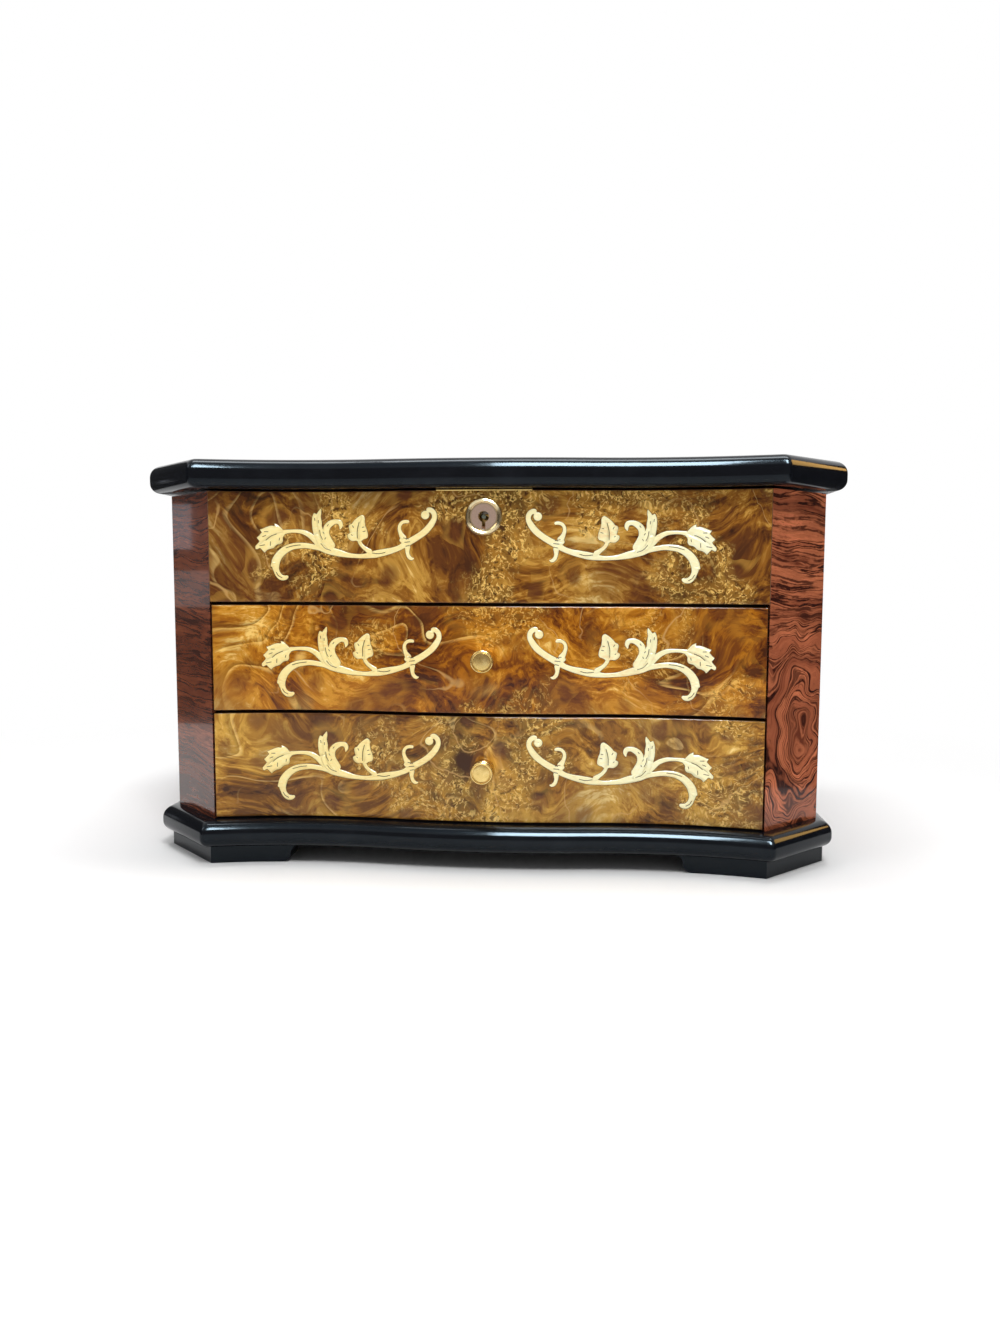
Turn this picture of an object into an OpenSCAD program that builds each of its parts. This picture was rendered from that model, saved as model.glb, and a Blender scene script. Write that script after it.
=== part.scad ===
// Jewelry chest with a serpentine front, canted corner posts, a hinged lid and two drawers.
// Millimetres, +Z up, front towards -Y, origin on the floor under the middle of the chest.

/* [Carcass] */
// Width across the two side panels
body_w = 303; // [280:1:330]
// Depth from the front corner line to the back
body_d = 190; // [178:1:215]
// Height of one drawer tier, drawer front and gap together
tier_h = 49; // [46:0.5:58]
// Height of the fixed tier under the lid
top_tier_h = 50.5; // [46:0.5:60]
// Width of the canted corner along each axis
cant = 28.5; // [24:0.5:32]
// Thickness of the side panels
wall_t = 9; // [7:0.5:11]
// Thickness of the canted corner posts
post_t = 10; // [8:0.5:10.5]
// Thickness of the back panel
back_t = 11; // [10.5:0.5:14]
// Thickness of the drawer shelf and the compartment floor
shelf_t = 5; // [4:0.5:6]
// Depth of the flat back of every front behind the corner line
front_t = 15; // [14.5:0.5:18]

/* [Serpentine front] */
// Distance of each hollow from the middle of the front
hollow_x = 70; // [62:1:78]
// Set-back of the hollows behind the corner line
hollow_depth = 6.5; // [5:0.5:7]
// Set-back of the crown in the middle of the front
crown_depth = 2.5; // [1.5:0.5:3]

/* [Mouldings] */
// Thickness of the lid
lid_t = 12.8; // [11.5:0.1:15]
// Overhang of the lid past the front
lid_front = 8.5; // [7:0.5:10]
// Overhang of the lid past the sides
lid_side = 7.5; // [6.5:0.5:10]
// Overhang of the lid past the canted corners
lid_cant = 10.5; // [8:0.5:11.5]
// Width of the black border round the lid's veneer field
lid_border = 15; // [13:0.5:20]
// Thickness of the base moulding
base_t = 11.8; // [10.5:0.1:14]
// Overhang of the base moulding past the front
base_front = 9; // [7:0.5:10]
// Overhang of the base moulding past the sides
base_side = 6; // [6:0.5:10]
// Overhang of the base moulding past the canted corners
base_cant = 9; // [7:0.5:11]
// Radius of the upper edge of the mouldings
nose_top_r = 5.5; // [4:0.5:5.5]
// Radius of the lower edge of the mouldings
nose_bottom_r = 4.5; // [3:0.5:4.5]

/* [Feet] */
// Height of the bracket feet
foot_h = 8; // [6:0.5:12]
// Overhang of the feet past the body, front and sides
foot_over = 3; // [1:0.5:4]
// Thickness of the bracket boards
foot_t = 12; // [9:0.5:14]
// Length of each bracket wing along the floor
foot_wing = 32; // [26:1:38]
// Share of the foot's height taken by the round toe of the ogee end
toe_share = 0.44; // [0.3:0.02:0.6]

/* [Drawers] */
// Visible gap between two tiers
tier_gap = 1.6; // [1.2:0.1:2]
// Gap between a drawer front and the corner posts
side_gap = 0.8; // [0.5:0.1:1.2]
// Thickness of the drawer sides and backs
drawer_t = 7; // [5:0.5:8]
// Thickness of the drawer bottoms
bottom_t = 3.5; // [3:0.5:5]
// Height of the drawer sides
drawer_h = 38; // [30:1:38]
// Space between the drawer boxes and the back panel
drawer_back_gap = 14; // [6:1:30]
// Thickness of the velvet pads
pad_t = 3; // [2:0.5:4]
// Height of the guide strips beside the drawers
guide_h = 14; // [10:1:20]
// Diameter of the knobs
knob_d = 10; // [9:0.5:13]
// Length of the knobs
knob_l = 9.3; // [8.5:0.1:12]

/* [Lock] */
// Drop of the keyhole below the top of the front panel
lock_drop = 11.4; // [11.2:0.1:12.5]
// Diameter of the round escutcheon
escutcheon_d = 16.4; // [15:0.2:20]
// Length of the lock's top plate and of the strike plate
lock_plate_l = 42; // [41:0.5:48]
// Travel of the lock bolt
bolt_travel = 4; // [3.6:0.1:4.2]

/* [Lid hardware] */
// Distance of each hinge from the middle
hinge_x = 95; // [80:1:105]
// Length of the hinges
hinge_l = 25; // [22:1:32]
// Length of the middle knuckle of each hinge
knuckle_l = 8.4; // [7:0.2:10]
// Radius of the hinge knuckles
knuckle_r = 1.9; // [1.8:0.1:2]
// Radius of the hinge pins
pin_r = 0.9; // [0.8:0.05:1]
// Depth of the stop bevels along the back edges
bevel_d = 2.6; // [2.4:0.1:3]
// Width of the mirror in the lid
mirror_w = 214; // [180:1:225]
// Depth of the mirror in the lid
mirror_d = 104; // [80:1:112]
// Width of the padded frame round the mirror
mirror_frame_w = 19; // [12:1:20]

/* [Compartment] */
// Number of ring rolls
roll_count = 8; // [6:1:8]
// Diameter of the ring rolls
roll_d = 18; // [14:0.5:18.5]
// Place of the divider beside the ring rolls, left of the middle
divider_x = 44; // [30:1:56]
// Depth of the wide cell in front of the cross divider
wide_cell_d = 82; // [60:1:90]
// Height of the dividers above the floor pad
divider_h = 22; // [16:1:30]
// Thickness of the dividers
divider_t = 4; // [3:0.5:5]

/* [Hidden] */
$fn = 96;

// Colours
lacquer = "#17181c";
rosewood = "#5a2c22";
burl = "#a06a2c";
inner_wood = "#3a2a20";
velvet = "#5c1822";
brass = "#c9a452";
steel = "#9a9c9f";
glass = "#c8d4da";

// Clearances
slide_gap = 0.3;
run_gap = 0.05;
let_in_gap = 0.1;
lid_gap = 0.8;
leaf_gap = 0.2;
knuckle_gap = 0.3;
screw_end_gap = 0.5;

// Levels
base_top = foot_h + base_t;
shelf_z = base_top + tier_h;
floor_z = shelf_z + tier_h;
lid_z = floor_z + top_tier_h;
body_top = lid_z - lid_gap;

// Plan: half widths, and the serpentine's two tangent arcs
half_w = body_w / 2;
corner_x = half_w - cant;
rise = hollow_depth - crown_depth;
hollow_reach = corner_x - hollow_x;
hollow_r = to_micron((hollow_reach * hollow_reach + hollow_depth * hollow_depth) / (2 * hollow_depth));
arc_sum = (hollow_x * hollow_x + rise * rise) / (2 * rise);
crown_r = to_micron(arc_sum - hollow_r);
crown_y = crown_depth + crown_r;
hollow_y = hollow_depth - hollow_r;
beyond = 60;
cut = 1;
arc_lap = 0.05;
crown_face = crown_depth - arc_lap;
far = 2 * body_w;
nose_steps = 6;
run_on = 10;
arc_fn = 360;
origin_y = -(body_d + min(corner_front(base_front, base_cant), corner_front(lid_front, lid_cant))) / 2;

// Interior
inner_x = half_w - wall_t;
inner_y = body_d - back_t;
post_reach = post_t * sqrt(2);
rest_gap = 0.3;
wall_lining_t = 1.2;
wall_lining_drop = 3;
pad_gap = 0.3;
pad_top = floor_z + shelf_t / 2 + pad_t;
cloth_gap = wall_lining_t + pad_gap;
divider_y0 = front_t + cloth_gap;
divider_y1 = inner_y - cloth_gap;
cross_y = divider_y0 + wide_cell_d;
short_x = (inner_x - divider_x) / 2;
roll_gap = 0.6;
roll_sunk = 1.4;

// Drawers
front_back_y = front_t - rest_gap;
front_half_w = corner_x - side_gap;
front_lip = 1;
box_half_w = front_half_w - front_lip;
drawer_end = inner_y - drawer_back_gap;
drawer_l = drawer_end - front_back_y;
upper_z = shelf_z + shelf_t / 2;
lower_z = base_top;
guide_gap = 0.5;
guide_y = 40;
guide_end_gap = 4;
guide_end = inner_y - guide_end_gap;
knob_screw_r = 1.5;
knob_screw_depth = 5.5;
knob_head_r = 3;
knob_head_t = 1.8;

// Lock: the case sits in the back of the front panel, its plate in the top edge
lock_z = body_top - lock_drop;
case_half_w = 17;
case_h = 22;
case_y = 7.5;
case_wall = 1;
plate_t = 1.2;
plate_y = 4;
plate_half = lock_plate_l / 2;
key_bore_r = 4.2;
keyhole_r = 2.4;
keyhole_slot_w = 1.6;
keyhole_slot_l = 5.4;
key_pin_r = 0.95;
tongue_x = 8;
tongue_t = 1.4;
tongue_w = 3.6;
tongue_y = 11.2;
tongue_drop = 7.6;
eye_drop = 5;
eye_r = 1.4;
finger_r = 1;
finger_l = bolt_travel + slide_gap;
rail_h = 1.6;
rail_drop = 8.1;
strike_let_in = 0.6;
strike_seen = 0.65;
small_screw_r = 0.9;
small_head_r = 1.6;
small_head_t = 0.8;
lock_screw_x = (case_half_w + plate_half) / 2;
lock_screw_y = 9.5;
lock_screw_l = 9;
strike_screw_x = 15;
strike_screw_y = 9.2;
strike_screw_l = 6;

// Lid hardware
axis_y = body_d - bevel_d;
axis_z = lid_z - lid_gap / 2;
bevel_angle = 50;
leaf_edge = 0.6;
leaf_w = back_t - bevel_d - leaf_edge;
leaf_let_in = 0.9;
leaf_t = leaf_let_in + lid_gap / 2 - leaf_gap / 2;
hinge_screw_end = 5;
hinge_screw_in = 4.8;
hinge_screw_x = hinge_l / 2 - hinge_screw_end;
hinge_screw_y = axis_y - hinge_screw_in;
hinge_screw_l = 7;
veneer_t = 1.2;
mirror_t = 3;
mirror_set_back = 1;
frame_t = mirror_t + mirror_set_back;
mirror_y = (front_t + inner_y) / 2;

function to_micron(length) = round(length * 1000) / 1000;

// X, at depth y, of the line through both arcs' centres, where crown and hollow are tangent.
function joint_x(y) = (crown_y - y) * hollow_x / (crown_y - hollow_y);

// Y of a moulding's front corner: where its hollow arc meets its canted edge.
function corner_front(front, corner) =
    let (
        reach = corner_x + corner * sqrt(2) - hollow_x,
        r = hollow_r - front,
        half_sum = reach - hollow_y
    )
    (-half_sum + sqrt(half_sum * half_sum - 2 * (reach * reach + hollow_y * hollow_y - r * r))) / 2;

// Moves a piece from the front corner line to the chest's own frame.
module placed() {
    translate([0, origin_y, 0])
        children();
}

module right_and_left() {
    children();
    mirror([1, 0, 0])
        children();
}

// Half-round edge of a moulding: [overhang, height] points from the underside to the top.
function nose(over, t) = concat(
    [for (k = [0:nose_steps]) let (w = 90 * k / nose_steps)
        [over - nose_bottom_r * (1 - sin(w)), nose_bottom_r * (1 - cos(w))]],
    [for (k = [0:nose_steps]) let (w = 90 * k / nose_steps)
        [over - nose_top_r * (1 - cos(w)), t - nose_top_r * (1 - sin(w))]]);

// The same edge drawn round its arcs, so that its facets lie between those of the nose it is mitred to.
function outer_nose(over, t) =
    let (half = 45 / nose_steps, rb = nose_bottom_r / cos(half), rt = nose_top_r / cos(half))
        concat(
            [for (k = [0:nose_steps - 1]) let (w = 90 * k / nose_steps + half)
                [over - nose_bottom_r + rb * sin(w), nose_bottom_r - rb * cos(w)]],
            [for (k = [0:nose_steps - 1]) let (w = 90 * k / nose_steps + half)
                [over - nose_top_r + rt * cos(w), t - nose_top_r + rt * sin(w)]]);

// An edge whose first and last facets run on past the underside and the top.
function run_past(edge) =
    let (n = len(edge) - 1)
        concat(
            [edge[0] + (edge[0] - edge[1]) * run_on],
            [for (k = [1:n - 1]) edge[k]],
            [edge[n] + (edge[n] - edge[n - 1]) * run_on]);

// Profile to turn or extrude: the edge's points from x outward, closed along the line x = inside.
function closed(edge, inside) = concat([[inside, edge[0][1]]], edge, [[inside, edge[len(edge) - 1][1]]]);

// Bar with the moulding's edge along +X, as long as the whole plan.
module edge_bar(over, t) {
    rotate([90, 0, 0])
        linear_extrude(height = far, center = true)
            polygon(closed(run_past(outer_nose(over, t)), -far));
}

// Slab whose moulded edge runs along the serpentine arcs and is mitred at the corners: each hollow is
// cut by a turned disc, the crown by what lies outside another, which laps a little over the hollows.
module moulded_slab(t, front, side, corner) {
    edge = run_past(nose(front, t));
    intersection() {
        difference() {
            translate([-far / 2, -beyond, 0])
                cube([far, body_d + beyond, t]);
            right_and_left()
                translate([hollow_x, hollow_y, 0])
                    rotate_extrude($fn = arc_fn)
                        polygon(closed([for (p = edge) [hollow_r - p[0], p[1]]], 0));
            difference() {
                translate([0, 0, -cut])
                    linear_extrude(height = t + 2 * cut)
                        crown_wedge_2d();
                translate([0, crown_y, 0])
                    rotate_extrude($fn = arc_fn)
                        polygon(closed([for (p = edge) [crown_r + arc_lap + p[0], p[1]]], 0));
            }
        }
        translate([corner_x, 0, 0])
            rotate([0, 0, -45])
                edge_bar(corner, t);
        translate([half_w, 0, 0])
            edge_bar(side, t);
        mirror([1, 0, 0])
            translate([corner_x, 0, 0])
                rotate([0, 0, -45])
                    edge_bar(corner, t);
        mirror([1, 0, 0])
            translate([half_w, 0, 0])
                edge_bar(side, t);
    }
}

// Space between the two lines where crown and hollows are tangent.
module crown_wedge_2d() {
    x = joint_x(-beyond);
    polygon([[0, crown_y], [-x, -beyond], [x, -beyond]]);
}

// Everything behind the serpentine line, moved outward by front.
module serpentine_2d(front) {
    difference() {
        translate([-far, -beyond])
            square([2 * far, 2 * beyond + body_d]);
        right_and_left()
            translate([hollow_x, hollow_y])
                circle(hollow_r - front, $fn = arc_fn);
        difference() {
            crown_wedge_2d();
            translate([0, crown_y])
                circle(crown_r + arc_lap + front, $fn = arc_fn);
        }
    }
}

// Outline of the chest seen from above, with its own overhang at the front, sides and corners.
module plan_2d(front, side, corner) {
    reach = corner * sqrt(2);
    right = [
        [half_w + side, body_d],
        [half_w + side, half_w + side - corner_x - reach],
        [corner_x + reach - beyond, -beyond]
    ];
    intersection() {
        polygon(concat(right, [for (k = [2:-1:0]) [-right[k][0], right[k][1]]]));
        serpentine_2d(front);
    }
}

// Stretch of the plan between the corner posts, for the drawer fronts and the fixed panel.
module front_2d(half, back_y) {
    intersection() {
        plan_2d(0, 0, 0);
        translate([-half, -beyond])
            square([2 * half, beyond + back_y]);
    }
}

// Clear space inside the walls and posts, drawn in by inset.
module interior_2d(inset) {
    line = corner_x - post_reach - inset * sqrt(2);
    y0 = front_t + inset;
    x1 = inner_x - inset;
    right = [[line + y0, y0], [x1, x1 - line], [x1, inner_y - inset]];
    polygon(concat(right, [for (k = [2:-1:0]) [-right[k][0], right[k][1]]]));
}

// Ogee end of a bracket: the space beyond it, from the round toe up to the hollow under the base.
module ogee_2d() {
    toe = foot_h * toe_share;
    cove = foot_h - toe;
    polygon(concat(
        [for (k = [0:nose_steps]) let (w = 90 * k / nose_steps) [toe * sin(w), toe * (1 - cos(w))]],
        [for (k = [1:nose_steps]) let (w = 90 * k / nose_steps)
            [foot_h - cove * cos(w), toe + cove * sin(w)]],
        [[foot_h, foot_h + cut], [foot_h + foot_wing, foot_h + cut], [foot_h + foot_wing, -cut], [0, -cut]]));
}

module ogee_cut(turn) {
    rotate([90, 0, turn])
        linear_extrude(height = 2 * beyond, center = true)
            ogee_2d();
}

module front_foot() {
    corner_reach = foot_over * (sqrt(2) - 1);
    wing_x = corner_x + corner_reach - foot_wing;
    wing_y = cant - corner_reach + foot_wing;
    trim = foot_h + 2 * cut;
    color(lacquer)
        placed()
            difference() {
                linear_extrude(height = foot_h)
                    intersection() {
                        difference() {
                            plan_2d(foot_over, foot_over, foot_over);
                            plan_2d(foot_over - foot_t, foot_over - foot_t, foot_over - foot_t);
                        }
                        translate([wing_x - trim, -beyond])
                            square([beyond * 2, beyond + wing_y + trim]);
                    }
                translate([wing_x, 0, 0])
                    mirror([1, 0, 0])
                        ogee_cut(0);
                translate([half_w, wing_y, 0])
                    ogee_cut(90);
            }
}

module rear_foot() {
    outer = half_w + foot_over;
    wing_x = outer - foot_wing;
    wing_y = body_d - foot_wing;
    color(lacquer)
        placed()
            difference() {
                linear_extrude(height = foot_h)
                    difference() {
                        translate([wing_x - foot_h, wing_y - foot_h])
                            square(foot_wing + foot_h);
                        translate([wing_x - 2 * foot_h, wing_y - 2 * foot_h])
                            square(foot_wing + 2 * foot_h - foot_t);
                    }
                translate([wing_x, body_d, 0])
                    mirror([1, 0, 0])
                        ogee_cut(0);
                translate([outer, wing_y, 0])
                    mirror([0, 1, 0])
                        ogee_cut(90);
            }
}

module foot_front_left() {
    mirror([1, 0, 0])
        front_foot();
}

module foot_front_right() {
    front_foot();
}

module foot_rear_left() {
    mirror([1, 0, 0])
        rear_foot();
}

module foot_rear_right() {
    rear_foot();
}

module base_moulding() {
    color(lacquer)
        placed()
            translate([0, 0, foot_h])
                moulded_slab(base_t, base_front, base_side, base_cant);
}

// Board from the base to the top of the carcass.
module upright() {
    translate([0, 0, base_top])
        linear_extrude(height = body_top - base_top)
            children();
}

module side_panel() {
    mitre_y = inner_x - corner_x + post_reach;
    color(rosewood)
        placed()
            upright()
                polygon([[half_w, cant], [half_w, inner_y], [inner_x, inner_y], [inner_x, mitre_y]]);
}

module side_panel_left() {
    mirror([1, 0, 0])
        side_panel();
}

module side_panel_right() {
    side_panel();
}

module corner_post() {
    mitre_y = inner_x - corner_x + post_reach;
    color(rosewood)
        placed()
            upright()
                polygon([[corner_x, 0], [half_w, cant], [inner_x, mitre_y], [corner_x, post_reach]]);
}

module corner_post_left() {
    mirror([1, 0, 0])
        corner_post();
}

module corner_post_right() {
    corner_post();
}

// Bevel along the hinge edge: the two boards' bevels meet when the lid stands fully open.
module stop_bevel(up) {
    depth = bevel_d + cut;
    gap = lid_gap / 2;
    translate([0, axis_y, axis_z])
        mirror([0, 0, up ? 0 : 1])
            rotate([90, 0, 90])
                linear_extrude(height = far, center = true)
                    polygon([[0, gap], [0, -cut], [depth, -cut], [depth, gap + depth * tan(bevel_angle)]]);
}

// Room for a hinge in its board: the leaf's mortise and a round channel for the knuckles.
module hinge_room(up) {
    for (x = [-hinge_x, hinge_x])
        translate([x, axis_y, axis_z]) {
            rotate([0, 90, 0])
                cylinder(r = knuckle_r + knuckle_gap, h = hinge_l + 2 * knuckle_gap, center = true);
            translate([-hinge_l / 2 - let_in_gap, -leaf_w - let_in_gap, up ? 0 : -lid_gap / 2 - leaf_let_in])
                cube([hinge_l + 2 * let_in_gap, leaf_w + let_in_gap, lid_gap / 2 + leaf_let_in]);
        }
}

module at_hinge_screws() {
    for (x = [-hinge_x, hinge_x], dx = [-hinge_screw_x, hinge_screw_x])
        translate([x + dx, hinge_screw_y, 0])
            children();
}

// Countersunk screw pointing down, its flat head at z = 0. Grown by play, it cuts its own hole.
module wood_screw(length, play = 0) {
    translate([0, 0, -length])
        cylinder(r = small_screw_r + play, h = length);
    translate([0, 0, -small_head_t])
        cylinder(r1 = small_screw_r + play, r2 = small_head_r + play, h = small_head_t);
}

module back_panel() {
    color(inner_wood)
        placed()
            difference() {
                upright()
                    translate([-half_w, inner_y])
                        square([body_w, back_t]);
                stop_bevel(false);
                hinge_room(false);
                at_hinge_screws()
                    translate([0, 0, axis_z - leaf_gap / 2])
                        wood_screw(hinge_screw_l + screw_end_gap, run_gap);
            }
}

module lock_mortise() {
    play = let_in_gap;
    translate([-case_half_w - play, case_y - play, body_top - case_h - play])
        cube([2 * (case_half_w + play), front_t, case_h + cut]);
    translate([-plate_half - play, plate_y - play, body_top - plate_t])
        cube([lock_plate_l + 2 * play, front_t, plate_t + cut]);
}

module front_panel() {
    bottom = floor_z + tier_gap / 2;
    color(burl)
        placed()
            difference() {
                translate([0, 0, bottom])
                    linear_extrude(height = body_top - bottom)
                        front_2d(corner_x, front_t);
                lock_mortise();
                translate([0, case_y, lock_z])
                    rotate([90, 0, 0])
                        cylinder(r = key_bore_r, h = beyond);
                right_and_left()
                    translate([lock_screw_x, lock_screw_y, body_top])
                        wood_screw(lock_screw_l + screw_end_gap, run_gap);
            }
}

module shelf(z) {
    color(inner_wood)
        placed()
            translate([0, 0, z - shelf_t / 2])
                linear_extrude(height = shelf_t)
                    interior_2d(0);
}

module compartment_floor() {
    shelf(floor_z);
}

module drawer_shelf() {
    shelf(shelf_z);
}

module guides(z) {
    guide_x = box_half_w + guide_gap;
    color(inner_wood)
        placed()
            right_and_left()
                translate([guide_x, guide_y, z])
                    cube([inner_x - guide_x, guide_end - guide_y, guide_h]);
}

module lower_drawer_guides() {
    guides(lower_z);
}

module upper_drawer_guides() {
    guides(upper_z);
}

// Keyhole seen from the front: a round eye with a slot hanging from it.
module keyhole_2d() {
    circle(keyhole_r);
    translate([-keyhole_slot_w / 2, -keyhole_slot_l])
        square([keyhole_slot_w, keyhole_slot_l]);
}

module at_lock() {
    translate([0, 0, lock_z])
        rotate([90, 0, 0])
            children();
}

module lock_case() {
    slot = slide_gap;
    color(brass)
        placed()
            difference() {
                union() {
                    translate([-case_half_w, case_y, body_top - case_h])
                        cube([2 * case_half_w, front_t - case_y, case_h - plate_t / 2]);
                    translate([-plate_half, plate_y, body_top - plate_t])
                        cube([lock_plate_l, front_t - plate_y, plate_t]);
                }
                translate([-case_half_w + case_wall, case_y + case_wall, body_top - case_h + case_wall])
                    cube([2 * (case_half_w - case_wall), front_t - case_y - 2 * case_wall,
                        case_h - plate_t - case_wall]);
                at_lock()
                    translate([0, 0, -case_y - 2 * case_wall])
                        linear_extrude(height = 4 * case_wall)
                            keyhole_2d();
                for (x = [-tongue_x, tongue_x])
                    translate([x - tongue_t / 2 - slot, tongue_y - tongue_w / 2 - 2 * slot,
                        body_top - 2 * plate_t])
                        cube([tongue_t + 2 * slot, tongue_w + 4 * slot, 3 * plate_t]);
                right_and_left()
                    translate([lock_screw_x, lock_screw_y, body_top])
                        wood_screw(lock_screw_l, run_gap);
            }
}

module lock_screws() {
    color(brass)
        placed()
            right_and_left()
                translate([lock_screw_x, lock_screw_y, body_top])
                    wood_screw(lock_screw_l);
}

// Drill pin that a hollow key turns on, standing on the back wall of the case.
module lock_key_pin() {
    color(steel)
        placed()
            at_lock()
                translate([0, 0, -front_t + case_wall])
                    cylinder(r = key_pin_r, h = front_t - case_wall - crown_face);
}

// Round escutcheon: a domed rim round a sunk disc, with a collar in the panel's bore.
module lock_escutcheon() {
    rim_r = escutcheon_d / 2;
    rim_w = 2.2;
    disc_r = rim_r - rim_w;
    rim_t = 1.8;
    disc_t = 0.9;
    ease = 0.5;
    collar_l = 3.5;
    color(brass)
        placed()
            at_lock()
                translate([0, 0, -crown_face])
                    difference() {
                        rotate_extrude()
                            polygon([
                                [0, -collar_l], [key_bore_r - run_gap, -collar_l], [key_bore_r - run_gap, 0],
                                [rim_r, 0], [rim_r, disc_t], [rim_r - ease, rim_t - ease / 2],
                                [(rim_r + disc_r) / 2, rim_t], [disc_r + ease, rim_t - ease / 2],
                                [disc_r, disc_t], [0, disc_t]
                            ]);
                        translate([0, 0, -collar_l - cut])
                            linear_extrude(height = collar_l + rim_t + 2 * cut)
                                keyhole_2d();
                    }
}

// Bolt: a rail under the strike's two tongues, with a finger that slides into each tongue's eye.
module lock_bolt() {
    finger_z = body_top - eye_drop;
    rail_z = body_top - rail_drop - rail_h;
    riser_w = 1.5;
    tip_gap = 0.6;
    tip = -tongue_t / 2 - tip_gap;
    riser_x = tip - finger_l - riser_w;
    rail_x = -tongue_x + riser_x;
    color(steel)
        placed() {
            translate([rail_x, tongue_y - finger_r, rail_z])
                cube([2 * tongue_x + riser_w, 2 * finger_r, rail_h]);
            for (x = [-tongue_x, tongue_x])
                translate([x, tongue_y, 0]) {
                    translate([riser_x, -finger_r, rail_z])
                        cube([riser_w, 2 * finger_r, finger_z + finger_r - rail_z]);
                    translate([riser_x + riser_w / 2, 0, finger_z])
                        rotate([0, 90, 0])
                            cylinder(r = finger_r, h = finger_l + riser_w / 2);
                }
        }
}

// One board's leaves: flat plates with the outer knuckles, or the middle one, round the pin.
module leaves(up) {
    side_l = (hinge_l - knuckle_l) / 2;
    plate_z = up ? leaf_gap / 2 : -leaf_gap / 2 - leaf_t;
    for (x = [-hinge_x, hinge_x])
        translate([x, axis_y, axis_z])
            difference() {
                union() {
                    difference() {
                        translate([-hinge_l / 2, -leaf_w, plate_z])
                            cube([hinge_l, leaf_w, leaf_t]);
                        knuckles(!up, knuckle_l + 2 * leaf_gap, side_l + leaf_gap, knuckle_r + knuckle_gap);
                    }
                    knuckles(up, knuckle_l, side_l - leaf_gap, knuckle_r);
                }
                rotate([0, 90, 0])
                    cylinder(r = pin_r + run_gap, h = hinge_l + 2 * cut, center = true);
            }
}

// The middle knuckle, or the two outer ones, as plain cylinders of radius r.
module knuckles(is_middle, middle_l, side_l, r) {
    if (is_middle)
        rotate([0, 90, 0])
            cylinder(r = r, h = middle_l, center = true);
    else
        right_and_left()
            translate([hinge_l / 2 - side_l, 0, 0])
                rotate([0, 90, 0])
                    cylinder(r = r, h = side_l);
}

module hinge_body_leaves() {
    color(brass)
        placed()
            difference() {
                leaves(false);
                at_hinge_screws()
                    translate([0, 0, axis_z - leaf_gap / 2])
                        wood_screw(hinge_screw_l, run_gap);
            }
}

module hinge_lid_leaves() {
    color(brass)
        placed()
            difference() {
                leaves(true);
                at_hinge_screws()
                    translate([0, 0, axis_z + leaf_gap / 2])
                        mirror([0, 0, 1])
                            wood_screw(hinge_screw_l, run_gap);
            }
}

module hinge_pins() {
    color(brass)
        placed()
            for (x = [-hinge_x, hinge_x])
                translate([x, axis_y, axis_z])
                    rotate([0, 90, 0])
                        cylinder(r = pin_r, h = hinge_l, center = true);
}

module hinge_body_screws() {
    color(brass)
        placed()
            at_hinge_screws()
                translate([0, 0, axis_z - leaf_gap / 2])
                    wood_screw(hinge_screw_l);
}

module hinge_lid_screws() {
    color(brass)
        placed()
            at_hinge_screws()
                translate([0, 0, axis_z + leaf_gap / 2])
                    mirror([0, 0, 1])
                        wood_screw(hinge_screw_l);
}

module floor_pad() {
    color(velvet)
        placed()
            translate([0, 0, floor_z + shelf_t / 2])
                linear_extrude(height = pad_t)
                    interior_2d(pad_gap);
}

module wall_lining() {
    color(velvet)
        placed()
            translate([0, 0, pad_top])
                linear_extrude(height = body_top - wall_lining_drop - pad_top)
                    difference() {
                        interior_2d(0);
                        interior_2d(wall_lining_t);
                    }
}

// Dividers of the compartment: long beside the ring rolls, cross behind the wide cell, short at the back.
module divider(x, y, w, d) {
    color(velvet)
        placed()
            translate([x, y, pad_top])
                cube([w, d, divider_h]);
}

module divider_long() {
    divider(-divider_x - divider_t, divider_y0, divider_t, divider_y1 - divider_y0);
}

module divider_cross() {
    divider(-divider_x, cross_y, inner_x - cloth_gap + divider_x, divider_t);
}

module divider_short() {
    y = cross_y + divider_t;
    divider(short_x, y, divider_t, divider_y1 - y);
}

// Foam rolls side by side, flat underneath, with room for a ring between each two.
module ring_rolls() {
    x0 = -inner_x + cloth_gap;
    x1 = -divider_x - divider_t - pad_gap;
    pitch = roll_d + roll_gap;
    y0 = divider_y1 - roll_d / 2;
    color(velvet)
        placed()
            intersection() {
                for (k = [0:roll_count - 1])
                    translate([x0, y0 - k * pitch, pad_top + roll_d / 2 - roll_sunk])
                        rotate([0, 90, 0])
                            cylinder(d = roll_d, h = x1 - x0);
                translate([-far, 0, pad_top])
                    cube([2 * far, body_d, roll_d]);
                translate([0, 0, pad_top])
                    linear_extrude(height = roll_d)
                        interior_2d(cloth_gap);
            }
}

module veneer_2d() {
    intersection() {
        plan_2d(lid_front - lid_border, lid_side - lid_border, lid_cant - lid_border);
        translate([-far, -beyond])
            square([2 * far, beyond + body_d - lid_border]);
    }
}

module at_strike_screws() {
    right_and_left()
        translate([strike_screw_x, strike_screw_y, lid_z - strike_seen])
            mirror([0, 0, 1])
                children();
}

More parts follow.
